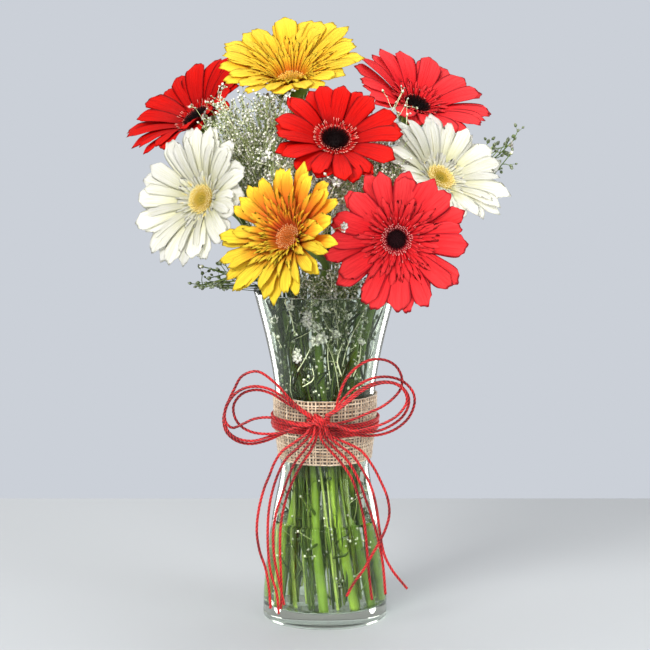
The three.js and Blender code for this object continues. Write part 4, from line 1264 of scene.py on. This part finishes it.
turns = np.linspace(0, WRAP_TURNS - 0.02, 1100)
z = WRAP_LOW + TWINE / 2 + 0.92 * TWINE * (turns - 0.25) + 0.25 * np.sin(2 * np.pi * turns * 1.3)
radius = glass_radius(z) + WRAP_OUT + TWINE / 2 + 0.3 * np.cos(np.pi * turns)
wrap = twine(around(math.atan2(KNOT[1], KNOT[0]) + 2 * np.pi * turns, radius, 0, z))
piece("twine_turns", [wrap], [twine_red], "twine", ["twine_wrap"])

# Knot of the bow
# The knot is the same red twine, tied in front of the wrap. Three turns of it are drawn tight round the four
# strands of the bow, which run through them from left to right.
KNOT_SLOPE = math.radians(-36)
KNOT_LIFT = 0.4
# where each strand enters the knot at the left and leaves it at the right, as x and z
STRANDS = [
    ((-13.2, 162.0), (3.4, 156.2)), ((-13.4, 160.0), (3.6, 158.4)), ((-13.2, 157.4), (3.6, 161.2)),
    ((-12.8, 156.4), (3.2, 162.4)),
]
parts = []
turn = np.linspace(-0.2, 2 * np.pi + 0.2, 48)
run = 4.8 * np.sin(turn) + 0.3 * np.sin(2 * turn)
for k in (-1, 0, 1):
    reach = 5.0 - 0.3 * abs(k)
    aside = k * 2.1
    x = KNOT[0] + run * math.cos(KNOT_SLOPE) - aside * math.sin(KNOT_SLOPE)
    y = KNOT[1] - reach * np.cos(turn) * 0.96
    z = KNOT[2] + KNOT_LIFT + run * math.sin(KNOT_SLOPE) + aside * math.cos(KNOT_SLOPE)
    parts.append(twine(np.stack([x, y, z], 1)))
for k, ((left, left_z), (right, right_z)) in enumerate(STRANDS):
    y = KNOT[1] + (1.5 - k) * 1.9
    middle = (KNOT[0], y - 0.6, KNOT[2] + KNOT_LIFT)
    parts.append(twine(smooth_route([(left, y, left_z), middle, (right, y, right_z)], 0.8)))
piece("bow_knot_strands", parts, [twine_red], "twine", ["bow_knot"])

# Loops and tails of the bow
# Four loops stand out to each side of the knot, each in its own layer, and eight cut ends hang below it,
# clear of the glass. All are the same limp twine as the wrap.
LOOP_LAYER = 2.6
# how much further apart the layers lie for each millimetre away from the knot
LOOP_FAN = 0.5 / 60
# the first and last places of the loops of each side, then each loop's real length from the knot on, in
# metres, and the other places along it, all as x and z
LOOP_ENDS = {
    "left": ([(-9.8, 162.5), (-17, 167)], [(-17, 156.5), (-9.8, 157)]),
    "right": ([(0.2, 162.5), (7.4, 167)], [(7.4, 156.5), (0.2, 157)]),
}
LOOPS = {
    "left": [
        (0.180, [(-25, 174), (-38, 188), (-50, 195.5), (-61, 192), (-67, 182), (-72, 171), (-75, 160),
                 (-73, 150), (-66, 143.5), (-56, 141), (-45, 143), (-31, 149)]),
        (0.161, [(-28, 175), (-41, 183), (-53, 185), (-64, 181), (-71, 173), (-74, 163), (-72, 152),
                 (-65, 146), (-54, 144), (-39, 148)]),
        (0.140, [(-28, 173), (-40, 180.5), (-51, 183), (-61, 180), (-67, 172), (-66.5, 163), (-62, 156),
                 (-54, 151.5), (-44, 150), (-32, 151)]),
        (0.156, [(-30, 178), (-45, 185.5), (-59, 185), (-69, 178), (-73.5, 168), (-72.5, 159), (-68, 155.5),
                 (-61, 158), (-52, 162), (-41, 163), (-29, 160)]),
    ],
    "right": [
        (0.159, [(10, 176), (15, 189), (23, 198.5), (33, 204), (44, 204), (52, 199.5), (56.5, 191), (56, 183),
                 (51, 176), (42, 169), (31, 164), (19, 159)]),
        (0.168, [(13, 175), (23, 185), (35, 191), (47, 192), (57.5, 188.5), (64.5, 181), (66, 173), (62, 162),
                 (53, 153.5), (42, 149), (29, 148), (17, 150)]),
        (0.152, [(15, 174), (25, 182.5), (36, 188), (47, 189), (55.5, 186), (61, 179), (61.5, 172), (57, 163),
                 (48, 156), (38, 152), (25, 151)]),
        (0.145, [(17, 174.5), (30, 184.5), (43, 189), (52, 188), (58.5, 182.5), (60, 175), (54, 165.5),
                 (45, 159.5), (34, 155.5), (20, 153)]),
    ],
}
TAIL_PITCH = 1.7
TAIL_STAGGER = 1.36
FREE_LEVEL = 100
# from left to right: each tail's real length in metres, how far in front it hangs free, and its places
TAILS = {
    "left_1": (0.153, -49, [
        (-14, 150), (-22, 144), (-32, 136.5), (-37.5, 128), (-41, 119), (-45, 109), (-49, 93), (-50.5, 77),
        (-48.5, 62), (-44, 48), (-41.5, 32), (-40.5, 18)]),
    "left_2": (0.154, -46, [
        (-11.7, 148), (-19.5, 139.5), (-28.5, 131), (-34, 121), (-38.5, 108), (-41.5, 93), (-42.5, 76),
        (-42, 58), (-40, 43), (-36, 29), (-34.5, 13)]),
    "left_3": (0.145, -43, [
        (-9, 147), (-14.5, 138.5), (-21, 130), (-26, 120), (-31.5, 104), (-36, 90), (-38.5, 73),
        (-37.5, 54), (-34, 36), (-30.5, 19)]),
    "left_4": (0.147, -40, [
        (-6.6, 146), (-11, 136), (-18, 125), (-24, 113), (-29, 99), (-32.5, 82), (-33.5, 64), (-33, 45),
        (-32.5, 29), (-33, 15)]),
    "right_4": (0.143, -43, [
        (-2.8, 146), (3, 138), (11, 129), (19, 117), (25, 101), (29, 83), (31, 64), (32.5, 45), (35, 23)]),
    "right_3": (0.140, -46, [
        (-0.2, 147), (7, 139), (16, 130), (24, 117), (29.5, 102), (35, 86), (39.5, 70), (43, 51), (45, 28)]),
    "right_2": (0.142, -49, [
        (2.3, 148.5), (10.5, 141.5), (20.5, 133.5), (28, 122.5), (34.5, 109), (38, 95), (40.5, 77),
        (44, 59), (50, 47), (61, 33)]),
    "right_1": (0.157, -52, [
        (3.6, 148.6), (12.9, 144), (26, 137.5), (34.5, 127), (41, 115), (46, 103), (47.5, 91), (45, 80),
        (40.5, 70), (35, 60), (29, 49), (21, 37.5), (16, 28)]),
}


def hang(name, points):
    """One strand of the bow as a cord of twine, which leaves the knot at its first point"""
    path = smooth_route(points, 1.0)
    strand = piece(f"{name}_strand", [twine(path)], [twine_red], "twine", [name])


for side, loops in LOOPS.items():
    first, last = LOOP_ENDS[side]
    for layer, (length, places) in enumerate(loops):
        offset = (1.5 - layer) * LOOP_LAYER
        route = first + places + last
        points = [(x, KNOT[1] + offset * (1 + LOOP_FAN * abs(x - KNOT[0])), z) for x, z in route]
        hang(f"bow_loop_{side}_{layer + 1}", points)
for order, (name, (length, filler_neck_shade, places)) in enumerate(TAILS.items()):
    x = KNOT[0] + (order - 3.5) * TAIL_PITCH
    y = KNOT[1] + (TAIL_STAGGER if order % 2 else -TAIL_STAGGER)
    top = places[0][1]
    points = [(x, y, KNOT[2] - 3)]
    points += [(px, y + (filler_neck_shade - y) * min(1, (top - pz) / (top - FREE_LEVEL)), pz) for px, pz in places]
    hang(f"bow_tail_{name}", points)

# Table, backdrop and light
# A plain pale table that ends a little way behind the vase, a plain pale grey-blue surrounding, and large
# soft lamps.
TABLE_CORNERS = [(-1.3, -1.15, 0), (1.3, -1.15, 0), (1.3, 0.39, 0), (-1.3, 0.39, 0)]
LAMPS_AIM = Vector((0, 0, 0.25))
table_mesh = bpy.data.meshes.new("table")
table_mesh.from_pydata(TABLE_CORNERS, [], [(0, 1, 2, 3)])
table_mesh.materials.append(new_finish("table_white", Base_Color=tint(184, 188, 191), Roughness=0.6)[0])
table = bpy.data.objects.new("table", table_mesh)
scene.collection.objects.link(table)

# what is seen past and through the vase is pale, the light from all round is a little softer, and the
# room is dim in what the glass mirrors
world = bpy.data.worlds.new("surrounding")
scene.world = world
world.use_nodes = True
tree = world.node_tree
seen = tree.nodes["Background"]
seen.inputs["Color"].default_value = tint(203, 208, 216)
path = add(tree, "ShaderNodeLightPath").outputs
mirrored = maths(tree, "GREATER_THAN", path["Glossy Depth"], 0.5)
strength = span(tree, mirrored, low=0.74, high=0.5)
room = add(tree, "ShaderNodeBackground", {"Color": tint(208, 208, 210), "Strength": strength})
direct = maths(tree, "MAXIMUM", path["Is Camera Ray"], path["Is Transmission Ray"])
show_mixed(tree, maths(tree, "SUBTRACT", direct, mirrored, use_clamp=True), room, seen, "World Output")
for name, place, size, power, color in (
    ("key", (-1.1, -1.7, 1.6), (0.8, 0.8), 54, (1.0, 0.985, 0.96)),
    ("fill", (1.7, -1.35, 0.8), (1.1, 1.3), 22, (0.96, 0.98, 1.0)),
    ("front", (0.1, -2.0, 0.8), (1.2, 0.9), 13, (1.0, 1.0, 1.0)),
    ("top", (0.2, 0.5, 2.1), (1.3, 1.3), 18, (1.0, 1.0, 1.0)),
    ("left_rim", (-0.95, 1.25, 0.0), (0.42, 0.9), 4, (1.0, 1.0, 1.0)),
    ("right_rim", (0.95, 1.25, 0.0), (0.42, 0.9), 4, (1.0, 1.0, 1.0)),
):
    lamp_data = bpy.data.lights.new(name, "AREA")
    lamp_data.shape = "ELLIPSE" if "rim" in name else "RECTANGLE"
    lamp_data.size, lamp_data.size_y = size
    lamp_data.energy = power
    lamp_data.color = color
    lamp = bpy.data.objects.new(name, lamp_data)
    lamp.location = place
    lamp.visible_glossy = name not in ("front", "fill")
    lamp.rotation_euler = (LAMPS_AIM - Vector(place)).to_track_quat("-Z", "Y").to_euler()
    scene.collection.objects.link(lamp)
scene.view_settings.view_transform = "Standard"
scene.cycles.max_bounces = 16
scene.cycles.transmission_bounces = 14
scene.cycles.transparent_max_bounces = 24
